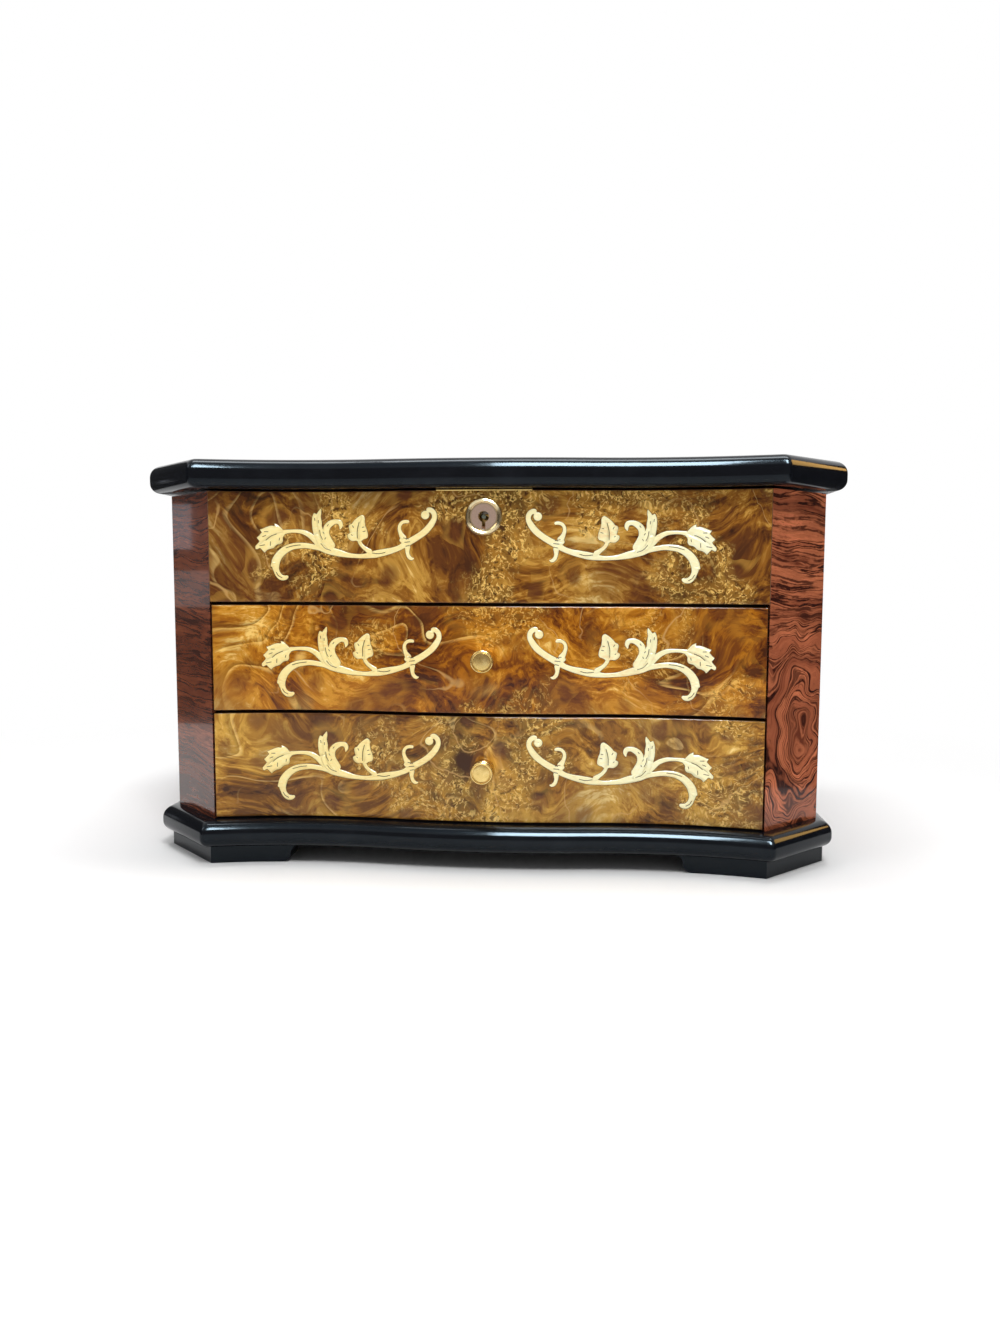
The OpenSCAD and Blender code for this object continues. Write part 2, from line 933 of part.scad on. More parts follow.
module lid_board() {
    frame_w = mirror_w + 2 * mirror_frame_w;
    frame_d = mirror_d + 2 * mirror_frame_w;
    color(lacquer)
        placed()
            difference() {
                translate([0, 0, lid_z])
                    moulded_slab(lid_t, lid_front, lid_side, lid_cant);
                translate([0, 0, lid_z + lid_t - veneer_t])
                    linear_extrude(height = 2 * veneer_t)
                        veneer_2d();
                translate([-frame_w / 2, mirror_y - frame_d / 2, lid_z - cut])
                    cube([frame_w, frame_d, frame_t + cut]);
                translate([-plate_half - let_in_gap, plate_y - let_in_gap, lid_z - cut])
                    cube([lock_plate_l + 2 * let_in_gap, front_t - plate_y + 2 * let_in_gap,
                        cut + strike_let_in]);
                stop_bevel(true);
                hinge_room(true);
                at_hinge_screws()
                    translate([0, 0, axis_z + leaf_gap / 2])
                        mirror([0, 0, 1])
                            wood_screw(hinge_screw_l + screw_end_gap, run_gap);
                at_strike_screws()
                    wood_screw(strike_screw_l + screw_end_gap, run_gap);
            }
}

module lid_veneer() {
    color(burl)
        placed()
            translate([0, 0, lid_z + lid_t - veneer_t])
                linear_extrude(height = veneer_t)
                    veneer_2d();
}

module lid_mirror() {
    color(glass)
        placed()
            translate([-mirror_w / 2, mirror_y - mirror_d / 2, lid_z + mirror_set_back])
                cube([mirror_w, mirror_d, mirror_t]);
}

module mirror_frame() {
    color(velvet)
        placed()
            translate([0, mirror_y, lid_z])
                linear_extrude(height = frame_t)
                    difference() {
                        square([mirror_w + 2 * mirror_frame_w, mirror_d + 2 * mirror_frame_w], center = true);
                        square([mirror_w, mirror_d], center = true);
                    }
}

// Strike: a plate under the lid with two tongues whose eyes take the bolt's fingers.
module lock_strike() {
    plate_z = lid_z - strike_seen;
    color(brass)
        placed()
            difference() {
                union() {
                    translate([-plate_half, plate_y, plate_z])
                        cube([lock_plate_l, front_t - plate_y, strike_seen + strike_let_in]);
                    for (x = [-tongue_x, tongue_x])
                        translate([x - tongue_t / 2, tongue_y - tongue_w / 2, body_top - tongue_drop])
                            cube([tongue_t, tongue_w, plate_z - body_top + tongue_drop + strike_let_in]);
                }
                translate([0, tongue_y, body_top - eye_drop])
                    rotate([0, 90, 0])
                        cylinder(r = eye_r, h = 4 * tongue_x, center = true);
                at_strike_screws()
                    wood_screw(strike_screw_l, run_gap);
            }
}

module strike_screws() {
    color(brass)
        placed()
            at_strike_screws()
                wood_screw(strike_screw_l);
}

// Drawer pieces: z is the level the drawer slides on, tier the level of its front's lower gap.
module drawer_front(tier) {
    color(burl)
        placed()
            difference() {
                translate([0, 0, tier + tier_gap / 2])
                    linear_extrude(height = tier_h - tier_gap)
                        front_2d(front_half_w, front_back_y);
                translate([0, front_t, tier + tier_h / 2])
                    rotate([90, 0, 0])
                        cylinder(r = knob_screw_r + run_gap, h = beyond);
            }
}

module drawer_side(z) {
    color(inner_wood)
        placed()
            translate([box_half_w - drawer_t, front_back_y, z + slide_gap])
                cube([drawer_t, drawer_l, drawer_h]);
}

module drawer_back(z) {
    half = box_half_w - drawer_t;
    color(inner_wood)
        placed()
            translate([-half, drawer_end - drawer_t, z + slide_gap + bottom_t])
                cube([2 * half, drawer_t, drawer_h - bottom_t]);
}

module drawer_bottom(z) {
    half = box_half_w - drawer_t;
    color(inner_wood)
        placed()
            translate([-half, front_back_y, z + slide_gap])
                cube([2 * half, drawer_l, bottom_t]);
}

module drawer_pad(z) {
    half = box_half_w - drawer_t - pad_gap;
    color(velvet)
        placed()
            translate([-half, front_back_y + knob_head_t + pad_gap, z + slide_gap + bottom_t])
                cube([2 * half, drawer_l - drawer_t - knob_head_t - 2 * pad_gap, pad_t]);
}

// Turned knob: straight barrel, a groove behind the face, a rim round a dished face.
module knob(tier) {
    r = knob_d / 2;
    ease = 0.5;
    groove = 0.6;
    groove_z = knob_l - 2.8;
    rim = 1.3;
    dish = 0.5;
    color(brass)
        placed()
            translate([0, crown_face, tier + tier_h / 2])
                rotate([90, 0, 0])
                    difference() {
                        rotate_extrude()
                            polygon([
                                [0, 0], [r - ease / 2, 0], [r, ease / 2], [r, groove_z - groove],
                                [r - groove, groove_z - groove / 2], [r - groove, groove_z + groove / 2],
                                [r, groove_z + groove], [r, knob_l - ease], [r - ease, knob_l],
                                [r - rim, knob_l], [r - rim - dish, knob_l - dish], [0, knob_l - dish]
                            ]);
                        translate([0, 0, -cut])
                            cylinder(r = knob_screw_r + run_gap, h = knob_screw_depth + screw_end_gap + cut);
                    }
}

module knob_screw(tier) {
    color(steel)
        placed()
            translate([0, 0, tier + tier_h / 2])
                rotate([90, 0, 0]) {
                    translate([0, 0, -front_back_y - knob_head_t])
                        cylinder(r = knob_head_r, h = knob_head_t);
                    translate([0, 0, -front_back_y])
                        cylinder(r = knob_screw_r, h = front_back_y - crown_face + knob_screw_depth);
                }
}

module upper_drawer_front() {
    drawer_front(shelf_z);
}

module upper_drawer_left_side() {
    mirror([1, 0, 0])
        drawer_side(upper_z);
}

module upper_drawer_right_side() {
    drawer_side(upper_z);
}

module upper_drawer_back() {
    drawer_back(upper_z);
}

module upper_drawer_bottom() {
    drawer_bottom(upper_z);
}

module upper_drawer_pad() {
    drawer_pad(upper_z);
}

module upper_knob() {
    knob(shelf_z);
}

module upper_knob_screw() {
    knob_screw(shelf_z);
}

module lower_drawer_front() {
    drawer_front(base_top);
}

module lower_drawer_left_side() {
    mirror([1, 0, 0])
        drawer_side(lower_z);
}

module lower_drawer_right_side() {
    drawer_side(lower_z);
}

module lower_drawer_back() {
    drawer_back(lower_z);
}

module lower_drawer_bottom() {
    drawer_bottom(lower_z);
}

module lower_drawer_pad() {
    drawer_pad(lower_z);
}

module lower_knob() {
    knob(base_top);
}

module lower_knob_screw() {
    knob_screw(base_top);
}

base_moulding();
foot_front_left();
foot_front_right();
foot_rear_left();
foot_rear_right();
side_panel_left();
side_panel_right();
corner_post_left();
corner_post_right();
back_panel();
front_panel();
compartment_floor();
drawer_shelf();
lower_drawer_guides();
upper_drawer_guides();
lock_case();
lock_key_pin();
lock_escutcheon();
lock_screws();
lock_bolt();
hinge_body_leaves();
hinge_pins();
hinge_body_screws();
floor_pad();
wall_lining();
divider_long();
divider_cross();
divider_short();
ring_rolls();
lid_board();
lid_veneer();
lid_mirror();
mirror_frame();
lock_strike();
strike_screws();
hinge_lid_leaves();
hinge_lid_screws();
upper_drawer_front();
upper_drawer_left_side();
upper_drawer_right_side();
upper_drawer_back();
upper_drawer_bottom();
upper_drawer_pad();
upper_knob();
upper_knob_screw();
lower_drawer_front();
lower_drawer_left_side();
lower_drawer_right_side();
lower_drawer_back();
lower_drawer_bottom();
lower_drawer_pad();
lower_knob();
lower_knob_screw();
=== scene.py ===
import math

import bmesh
import bpy
import numpy as np
from mathutils import Matrix


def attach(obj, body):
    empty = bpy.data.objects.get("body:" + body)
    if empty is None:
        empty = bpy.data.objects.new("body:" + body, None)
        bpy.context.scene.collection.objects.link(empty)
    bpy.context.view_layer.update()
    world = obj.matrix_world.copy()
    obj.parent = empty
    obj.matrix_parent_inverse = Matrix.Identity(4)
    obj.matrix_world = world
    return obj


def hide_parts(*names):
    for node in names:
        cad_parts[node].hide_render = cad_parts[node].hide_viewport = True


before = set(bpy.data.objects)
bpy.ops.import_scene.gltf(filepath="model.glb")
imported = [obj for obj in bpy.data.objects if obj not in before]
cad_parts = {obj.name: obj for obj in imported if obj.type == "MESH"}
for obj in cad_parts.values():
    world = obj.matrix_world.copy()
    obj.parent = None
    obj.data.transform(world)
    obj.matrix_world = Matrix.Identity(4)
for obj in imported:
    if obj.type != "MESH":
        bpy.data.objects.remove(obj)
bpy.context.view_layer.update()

scene = bpy.context.scene
mm = 0.001

# the chest's plan and levels in millimetres, y counted back from the front corner line
chest = dict(
    frontLine=-89.964, halfWidth=151.5, depth=190.0, cornerX=123.0,
    hollowX=70.0, hollowDepth=6.5, crownDepth=2.5, hollowR=219.327, crownR=395.173,
    crownLimit=150.0, hollowLimit=190.0,  # widths at which the two circles' roots are held real
    innerX=142.5, innerY=179.0, postReach=14.142, frontBack=15.0,
    baseBottom=8.0, bodyTop=167.5, lidZ=168.3, padTop=123.3, lockZ=156.1,
)
jointSin = chest["hollowX"] / (chest["hollowR"] + chest["crownR"])


def place(x, y, z):
    # millimetres in the chest's own front frame to metres in the shared frame
    x, y, z = np.broadcast_arrays(np.asarray(x, float), np.asarray(y, float), np.asarray(z, float))
    return np.stack([x, y + chest["frontLine"], z], axis=-1) * mm


def frontCurve(x, out=0.0):
    # serpentine line moved outward: circle of the crown in the middle, circle of the hollow beyond the joint
    a = np.abs(x)
    crownR, hollowR = chest["crownR"] + out, chest["hollowR"] - out
    dx = np.minimum(np.abs(a - chest["hollowX"]), chest["hollowLimit"])
    crown = chest["crownDepth"] + chest["crownR"] - np.sqrt(crownR ** 2 - np.minimum(a, chest["crownLimit"]) ** 2)
    hollow = chest["hollowDepth"] - chest["hollowR"] + np.sqrt(hollowR ** 2 - dx ** 2)
    return np.where(a < jointSin * crownR, crown, hollow)


def gridFaces(rows, cols, wrapRows=False, wrapCols=False, start=0):
    # corner numbers of the quads of a rows x cols grid, closed on itself where asked
    r = np.arange(rows if wrapRows else rows - 1)
    c = np.arange(cols if wrapCols else cols - 1)
    r, c = np.meshgrid(r, c, indexing="ij")
    r2, c2 = (r + 1) % rows, (c + 1) % cols
    quads = np.stack([r * cols + c, r * cols + c2, r2 * cols + c2, r2 * cols + c], axis=-1)
    return quads.reshape(-1, 4) + start


def tubeFaces(rows, cols, start=0):
    # quads of a tube made of rings, and one face over each end
    first = np.arange(cols) + start
    ends = [first[::-1].tolist(), (first + (rows - 1) * cols).tolist()]
    return gridFaces(rows, cols, wrapCols=True, start=start).tolist() + ends


def circle(count):
    return np.linspace(0, 2 * math.pi, count, endpoint=False)


def makePiece(name, verts, faces, material, body, closed=True, sharp=38):
    # mesh from whole arrays; a closed shell has its faces turned outward
    mesh = bpy.data.meshes.new(name)
    mesh.from_pydata(np.asarray(verts, float).reshape(-1, 3).tolist(), [], [list(map(int, f)) for f in faces])
    bm = bmesh.new()
    bm.from_mesh(mesh)
    if closed:
        bmesh.ops.remove_doubles(bm, verts=bm.verts, dist=1e-7)
        bmesh.ops.recalc_face_normals(bm, faces=bm.faces)
    bm.to_mesh(mesh)
    bm.free()
    mesh.polygons.foreach_set("use_smooth", np.ones(len(mesh.polygons), bool))
    mesh.set_sharp_from_angle(angle=math.radians(sharp))
    mesh.materials.append(material)
    obj = bpy.data.objects.new(name, mesh)
    scene.collection.objects.link(obj)
    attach(obj, body)
    return obj


def thicken(obj, depth):
    # gives an open skin its thickness, behind its face
    wall = obj.modifiers.new("thickness", "SOLIDIFY")
    wall.thickness = depth
    wall.offset = -1.0
    wall.use_even_offset = False


class Wire:
    # one socket of a finish; sums and products of wires add Math nodes
    def __init__(self, finish, socket):
        self.finish, self.socket = finish, socket

    def __add__(self, other):
        return self.finish.math("ADD", self, other)

    def __radd__(self, other):
        return self.finish.math("ADD", other, self)

    def __sub__(self, other):
        return self.finish.math("SUBTRACT", self, other)

    def __rsub__(self, other):
        return self.finish.math("SUBTRACT", other, self)

    def __mul__(self, other):
        return self.finish.math("MULTIPLY", self, other)

    def __rmul__(self, other):
        return self.finish.math("MULTIPLY", other, self)


class Finish:
    # a material or a world whose nodes are added one by one; the shader's constants are set at the start
    def __init__(self, name, owner=None, **constants):
        self.owner = owner or bpy.data.materials.new(name)
        self.owner.use_nodes = True
        self.tree = self.owner.node_tree
        self.shader = self.tree.nodes.get("Principled BSDF")
        for socket, value in constants.items():
            self.shader.inputs[socket.replace("_", " ")].default_value = value

    def node(self, kind, settings=None, inputs=None, out=0):
        made = self.tree.nodes.new(kind)
        for key, value in (settings or {}).items():
            if key == "stops":
                ramp = made.color_ramp
                ramp.interpolation = "EASE"
                while len(ramp.elements) < len(value):
                    ramp.elements.new(1.0)
                for element, (position, colour) in zip(ramp.elements, value):
                    element.position = position
                    element.color = (*colour, 1.0)
            else:
                setattr(made, key, value)
        for key, value in (inputs or {}).items():
            self.feed(made.inputs[key], value)
        return Wire(self, made.outputs[out])

    def feed(self, socket, value):
        if isinstance(value, Wire):
            self.tree.links.new(value.socket, socket)
        elif isinstance(value, tuple) and len(value) == 3 and socket.type == "RGBA":
            socket.default_value = (*value, 1.0)
        else:
            socket.default_value = value

    def math(self, operation, a, b=0.0):
        return self.node("ShaderNodeMath", dict(operation=operation), {0: a, 1: b})

    def vector(self, operation, a, b=(0, 0, 0), scale=1.0, out=0):
        return self.node("ShaderNodeVectorMath", dict(operation=operation), {0: a, 1: b, 3: scale}, out)

    def mix(self, factor, a, b):
        return self.node("ShaderNodeMix", dict(data_type="RGBA"), {0: factor, 6: a, 7: b}, out=2)

    def ramp(self, value, stops):
        return self.node("ShaderNodeValToRGB", dict(stops=stops), {0: value})

    def smooth(self, value, low, high):
        return self.node("ShaderNodeMapRange", dict(interpolation_type="SMOOTHSTEP"), {0: value, 1: low, 2: high})

    def crossing(self, value, level, low, high):
        # one where the value passes a level, fading to nought either side of it
        return 1 - self.smooth(self.math("ABSOLUTE", value - level), low, high)

    def coords(self, shift=(0, 0, 0), turn=(0, 0, 0), stretch=(1, 1, 1)):
        own = self.node("ShaderNodeTexCoord", out=3)
        return self.node("ShaderNodeMapping", None, {0: own, 1: shift, 2: turn, 3: stretch})

    def noise(self, where, scale, detail=3.0, rough=0.5, twist=0.0, out=0):
        inputs = {"Vector": where, "Scale": scale, "Detail": detail, "Roughness": rough, "Distortion": twist}
        return self.node("ShaderNodeTexNoise", None, inputs, out)

    def drift(self, where, scale, detail, rough):
        # noise as a vector about nought, for warping coordinates
        return self.vector("SUBTRACT", self.noise(where, scale, detail, rough, out=1), (0.5, 0.5, 0.5))

    def warp(self, where, drift, reach):
        return self.vector("ADD", where, self.vector("SCALE", drift, scale=reach))

    def cells(self, where, scale, out=0):
        # distance to points scattered over a plane, or a colour for each of them
        inputs = {"Vector": where, "Scale": scale}
        return self.node("ShaderNodeTexVoronoi", dict(voronoi_dimensions="2D"), inputs, out)

    def split(self, where):
        made = self.node("ShaderNodeSeparateXYZ", None, {0: where})
        return [Wire(self, made.socket.node.outputs[k]) for k in range(3)]

    def join(self, x, y, z):
        return self.node("ShaderNodeCombineXYZ", None, {0: x, 1: y, 2: z})

    def bump(self, height, strength, distance):
        return self.node("ShaderNodeBump", None, {"Height": height, "Strength": strength, "Distance": distance})

    def seen(self):
        # one for what is seen, straight, mirrored or through glass; nought for light that falls on things
        path = self.node("ShaderNodeLightPath").socket.node.outputs
        rays = [Wire(self, path[ray]) for ray in ("Is Camera Ray", "Is Glossy Ray", "Is Transmission Ray")]
        return self.math("MAXIMUM", self.math("MAXIMUM", rays[0], rays[1]), rays[2])

    def show(self, wire):
        # hands the last node to the output
        out = next(node for node in self.tree.nodes if node.type.startswith("OUTPUT"))
        self.tree.links.new(wire.socket, out.inputs[0])
        return self.owner

    def use(self, **inputs):
        for key, value in inputs.items():
            self.feed(self.shader.inputs[key.replace("_", " ")], value)
        return self.owner


def shade(colour, by):
    # a colour made lighter or darker, as a whole or channel by channel
    return tuple((np.asarray(colour) * by).tolist())


# lacquer tones: near black, the bluish grey that serves both the painted sheen and the dust, specular tint,
# roughness
lacquerLook = dict(colour=(0.004, 0.0045, 0.0065), dustAndSheen=(0.016, 0.018, 0.023), tint=(0.75, 0.90, 1.0, 1.0),
                   gloss=0.085)


def blackLacquer(p):
    # black lacquer: clouded patches, a little rougher and painted a bluish grey as a painted sheen, dust here and
    # there, the faint orange peel of a sprayed coat
    f = Finish("blackLacquer", IOR=1.5, Specular_IOR_Level=0.20, Specular_Tint=p["tint"])
    at = f.coords()
    cloud = f.noise(at, 55, 4, 0.6)
    dust = f.smooth(f.noise(at, 900, 2, 0.5), 0.70, 0.80)
    peel = f.noise(at, 260, 2, 0.5)
    # painted sheen: the clouded patches are mixed towards a bluish grey that stands in for a bluish reflection;
    # real dust is mixed towards the same grey
    colour = f.mix(f.smooth(cloud, 0.45, 0.85) * 0.35 + dust * 0.25, p["colour"], p["dustAndSheen"])
    gloss = p["gloss"] + cloud * 0.07 + dust * 0.12
    return f.use(Base_Color=colour, Roughness=gloss, Normal=f.bump(peel, 0.06, 0.0004))


# what all burls share: reach of the warps, scale of the eyes, strength of each mark, tones of the fine marks
burlLook = dict(
    coat=0.25, sway=0.095, fineSway=0.016, looseSway=0.010, eyeSway=0.022, flatten=0.25, fibreStretch=5.0,
    smoke=0.60, eyeScale=62, halo=0.70, eye=0.80, folds=11.0, foldShade=0.60, foldHighlight=0.62,
    clusterGold=0.32, pit=0.85, curl=0.84, thread=0.55,
    pitTone=1.3, curlTone=(0.98, 0.90, 0.68), threadTone=(0.62, 0.37, 0.12),
)
# each burl: where in the figure it is cut, share of curls, creases and eyes, tones
burls = dict(
    Top=dict(seed=(0.31, 0.1, 0.07), curly=1.0, creased=0.45, eyed=0.95,
             dark=(0.034, 0.010, 0.003), deep=(0.116, 0.036, 0.005), mid=(0.275, 0.104, 0.011),
             gold=(0.540, 0.280, 0.046), shine=(0.95, 0.68, 0.24), smoky=(0.115, 0.036, 0.010)),
    Lid=dict(seed=(2.1, 0.6, 0.2), curly=0.8, creased=0.6, eyed=0.5, lying=True,
             dark=(0.038, 0.013, 0.004), deep=(0.122, 0.043, 0.007), mid=(0.285, 0.116, 0.013),
             gold=(0.490, 0.260, 0.040), shine=(0.74, 0.50, 0.15), smoky=(0.110, 0.038, 0.012)),
    Middle=dict(seed=(0.83, 0.2, 0.19), curly=0.75, creased=0.95, eyed=0.55,
                dark=(0.056, 0.013, 0.002), deep=(0.176, 0.046, 0.003), mid=(0.385, 0.128, 0.005),
                gold=(0.615, 0.270, 0.024), shine=(0.93, 0.61, 0.17), smoky=(0.135, 0.040, 0.008)),
    Low=dict(seed=(1.47, 0.4, 0.43), curly=0.85, creased=0.65, eyed=0.70,
             dark=(0.048, 0.016, 0.004), deep=(0.152, 0.056, 0.008), mid=(0.355, 0.152, 0.017),
             gold=(0.620, 0.345, 0.056), shine=(0.96, 0.71, 0.27), smoky=(0.148, 0.058, 0.020)),
)


def burlVeneer(name, p, q):
    # ground: broad satin areas, soft fibres and flecks in one light value, coloured from dark to shine
    lying = q.get("lying", False)
    f = Finish(name, IOR=1.5, Specular_IOR_Level=0.12, Coat_Weight=p["coat"], Coat_Roughness=0.04)
    at = f.coords(shift=q["seed"], stretch=(1.0, 1.0, p["flatten"]) if lying else (1.0, p["flatten"], 1.0))
    wide = f.drift(at, 15, 1.5, 0.45)
    bent = f.warp(at, wide, p["sway"])
    small = f.drift(bent, 60, 2, 0.5)
    curled = f.warp(bent, small, p["fineSway"])
    along = (1.0, p["fibreStretch"], 1.0) if lying else (1.0, 1.0, p["fibreStretch"])
    fibre = f.noise(f.vector("MULTIPLY", curled, along), 66, 4, 0.62)
    broad = f.noise(bent, 24, 3, 0.5)
    fleck = f.noise(curled, 430, 3, 0.6)
    light = broad * 0.60 + fibre * 0.40 + (fleck - 0.5) * 0.20
    tones = zip((0.39, 0.455, 0.52, 0.59, 0.68), ("dark", "deep", "mid", "gold", "shine"))
    colour = f.ramp(light, [(stop, q[tone]) for stop, tone in tones])
    colour = f.mix(f.smooth(f.noise(bent, 19, 3, 0.55), 0.45, 0.62) * p["smoke"], colour, q["smoky"])
    # eyes: distance to points scattered over the face, at some of them a round brown spot with a gold halo
    uneven = f.warp(f.warp(at, wide, p["eyeSway"]), small, p["looseSway"])
    x, y, z = f.split(uneven)
    face = f.join(x, y if lying else z, 0.0)
    away = f.cells(face, p["eyeScale"])
    chosen = f.smooth(f.split(f.cells(face, p["eyeScale"], out=1))[0], 0.40, 0.60) * q["eyed"]
    halo = f.smooth(away, 0.20, 0.34) * (1 - f.smooth(away, 0.36, 0.60))
    colour = f.mix(halo * chosen * (0.20 + fibre * 0.80) * p["halo"], colour, q["gold"])
    colour = f.mix((1 - f.smooth(away, 0.10, 0.32)) * chosen * p["eye"], colour, q["smoky"])
    # creases: the fraction of a slow height, with painted shade as it fills up and a painted highlight where it
    # starts again, the sheen and shadow of a chatoyant fold
    fold = f.math("FRACT", f.noise(bent, 13, 2, 0.5) * p["folds"])
    there = f.smooth(f.noise(at, 18, 2, 0.5), 0.47, 0.60) * q["creased"]
    silk = 0.30 + f.smooth(fibre, 0.40, 0.60) * 0.70
    creaseHighlight = f.smooth(fold, 0.0, 0.03) * (1 - f.smooth(fold, 0.03, 0.17))
    # painted shade just before each crease, then a painted highlight just after it
    colour = f.mix(f.smooth(fold, 0.72, 0.99) * there * p["foldShade"], colour, q["dark"])
    colour = f.mix(creaseHighlight * silk * there * p["foldHighlight"], colour, q["shine"])
    # curls: thin lines at one level of a fine figure, broken up, in golden clusters with pits between them
    loose = f.warp(at, small, p["looseSway"])
    cluster = f.smooth(f.noise(at, 27, 3, 0.6), 0.50, 0.61) * q["curly"]
    curl = f.crossing(f.noise(loose, 420, 2, 0.55, 0.4), 0.5, 0.015, 0.075)
    broken = f.smooth(f.noise(loose, 620, 2, 0.5), 0.42, 0.58)
    pit = f.smooth(f.noise(f.vector("ADD", loose, (0.3, 0.1, 0.2)), 480, 2, 0.5), 0.52, 0.66)
    colour = f.mix(cluster * p["clusterGold"], colour, q["gold"])
    colour = f.mix(pit * cluster * p["pit"], colour, shade(q["dark"], p["pitTone"]))
    colour = f.mix(curl * broken * cluster * p["curl"], colour, shade(q["shine"], p["curlTone"]))
    # threads: long fine tan lines at one level of a slow figure, showing here and there
    thread = f.crossing(f.noise(uneven, 26, 1, 0.4), 0.5, 0.001, 0.0065)
    shown = f.smooth(f.noise(at, 20, 2, 0.5), 0.45, 0.57)
    colour = f.mix(thread * shown * p["thread"], colour, p["threadTone"])
    gloss = 0.12 + f.noise(at, 40, 3, 0.5) * 0.08 + fleck * 0.04
    return f.use(Base_Color=colour, Roughness=gloss, Normal=f.bump(f.noise(at, 240, 2, 0.5), 0.03, 0.0004))


# each rosewood: where in the figure it is cut, strength of the lines, polish, tones;
# a knot has its x, height and reach in metres
rosewoods = dict(
    Right=dict(seed=(0.0, 0.0, 0.0), bold=0.97, coat=0.2, matt=0.12, knot=(0.142, 0.060, 0.040),
               red=(0.400, 0.116, 0.050), brown=(0.215, 0.050, 0.022), dark=(0.026, 0.005, 0.003)),
    Left=dict(seed=(0.40, 0.1, 0.23), bold=0.74, coat=0.46, matt=0.12,
              red=(0.165, 0.044, 0.018), brown=(0.095, 0.025, 0.012), dark=(0.018, 0.005, 0.004)),
    Side=dict(seed=(0.90, 0.3, 0.57), bold=0.65, coat=0.06, matt=0.30,
              red=(0.200, 0.054, 0.026), brown=(0.115, 0.029, 0.016), dark=(0.030, 0.009, 0.007)),
)


def rosewoodVeneer(name, p):
    # rosewood: red-brown ground with dark wavy lines lying across the post, bent round a knot where there is one
    f = Finish(name, IOR=1.5, Specular_IOR_Level=0.12, Coat_Weight=p["coat"], Coat_Roughness=0.036)
    at = f.coords(shift=p["seed"])
    bent = f.warp(at, f.drift(at, 24, 2, 0.5), 0.012)
    bent = f.warp(bent, f.drift(bent, 150, 2, 0.5), 0.0011)
    bx, by, level = f.split(bent)
    if "knot" in p:
        # rings of the knot: distance from its middle, longer upright, taking over from the level lines near it
        kx, kz, reach = p["knot"]
        dx, dz = bx - kx, (level - kz) * 0.55
        far = f.math("SQRT", dx * dx + dz * dz) + (f.noise(at, 60, 1, 0.5) - 0.5) * 0.016
        near = 1 - f.smooth(far, reach * 0.30, reach)
        level = level * (1 - near) + (far * 1.8 + kz) * near

    def lengthwise(share, scale, detail, rough):
        # noise drawn out along the lines: x and y shrunk to a share, the level kept
        return f.noise(f.join(bx * share, by * share, level), scale, detail, rough)

    line = lengthwise(0.05, 235, 2, 0.45)
    fine = lengthwise(0.10, 900, 3, 0.6)
    band = lengthwise(0.12, 75, 2, 0.5)
    tone = band * 0.45 + fine * 0.35 + f.noise(at, 45, 2, 0.5) * 0.20
    ground = f.ramp(tone, [(0.38, shade(p["brown"], 0.60)), (0.49, p["red"]), (0.60, shade(p["red"], 1.75))])
    ground = f.mix(f.smooth(line, 0.47, 0.62) * 0.50, ground, p["brown"])
    # dark lines where the figure crosses one of two levels, ragged and here and there broken along their way
    rag = (lengthwise(0.5, 700, 3, 0.6) - 0.5) * 0.05
    ridge = 1 - f.smooth(f.math("ABSOLUTE", line - 0.55) + rag, 0.014, 0.044)
    second = 1 - f.smooth(f.math("ABSOLUTE", line - 0.45) + rag, 0.012, 0.038)
    whole = 0.40 + f.smooth(lengthwise(0.35, 300, 3, 0.6), 0.36, 0.50) * 0.60
    streak = f.smooth(fine + (band - 0.5) * 0.6, 0.61, 0.70) * 0.55
    mark = f.math("MAXIMUM", f.math("MAXIMUM", ridge, second * 0.85) * whole, streak)
    colour = f.mix(mark * p["bold"], ground, p["dark"])
    pores = f.smooth(lengthwise(0.20, 2600, 2, 0.5), 0.60, 0.72)
    colour = f.mix(pores * 0.35, colour, p["dark"])
    relief = f.bump(f.noise(at, 240, 2, 0.5) + pores * 0.05, 0.03, 0.0004)
    return f.use(Base_Color=colour, Roughness=p["matt"] + f.noise(at, 35, 3, 0.5) * 0.09, Normal=relief)


plainWoods = dict(
    stainedWood=dict(low=(0.030, 0.016, 0.009), mid=(0.075, 0.040, 0.022), high=(0.125, 0.070, 0.038),
                     pore=(0.018, 0.010, 0.006), matt=0.46),
    frontEdgeWood=dict(low=(0.060, 0.024, 0.009), mid=(0.130, 0.056, 0.020), high=(0.215, 0.105, 0.040),
                       pore=(0.030, 0.012, 0.006), matt=0.22),
)


def plainWood(name, p):
    # plain wood: straight grain along x and y, dark pores
    f = Finish(name, IOR=1.45, Specular_IOR_Level=0.35)
    drawn = f.coords(stretch=(0.06, 0.6, 0.6))
    grain = f.noise(f.coords(stretch=(0.10, 0.10, 1.0)), 420, 4, 0.6) * 0.5 + f.noise(drawn, 500, 4, 0.6) * 0.5
    pores = f.smooth(f.noise(drawn, 2200, 2, 0.5), 0.60, 0.74)
    ground = f.ramp(grain, [(0.34, p["low"]), (0.52, p["mid"]), (0.68, p["high"])])
    colour = f.mix(pores * 0.5, ground, p["pore"])
    relief = f.bump(grain - pores * 0.4, 0.15, 0.0004)
    return f.use(Base_Color=colour, Roughness=p["matt"] + grain * 0.22, Normal=relief)


# inlay wood: tones on the left and on the right, dark to light, and the x between which they change over
boxwoodLook = dict(left=((0.94, 0.67, 0.24), (0.99, 0.81, 0.35), (0.99, 0.88, 0.46)), fromX=-0.06,
                   right=((0.95, 0.75, 0.38), (0.99, 0.92, 0.55), (0.99, 0.97, 0.68)), toX=0.07)


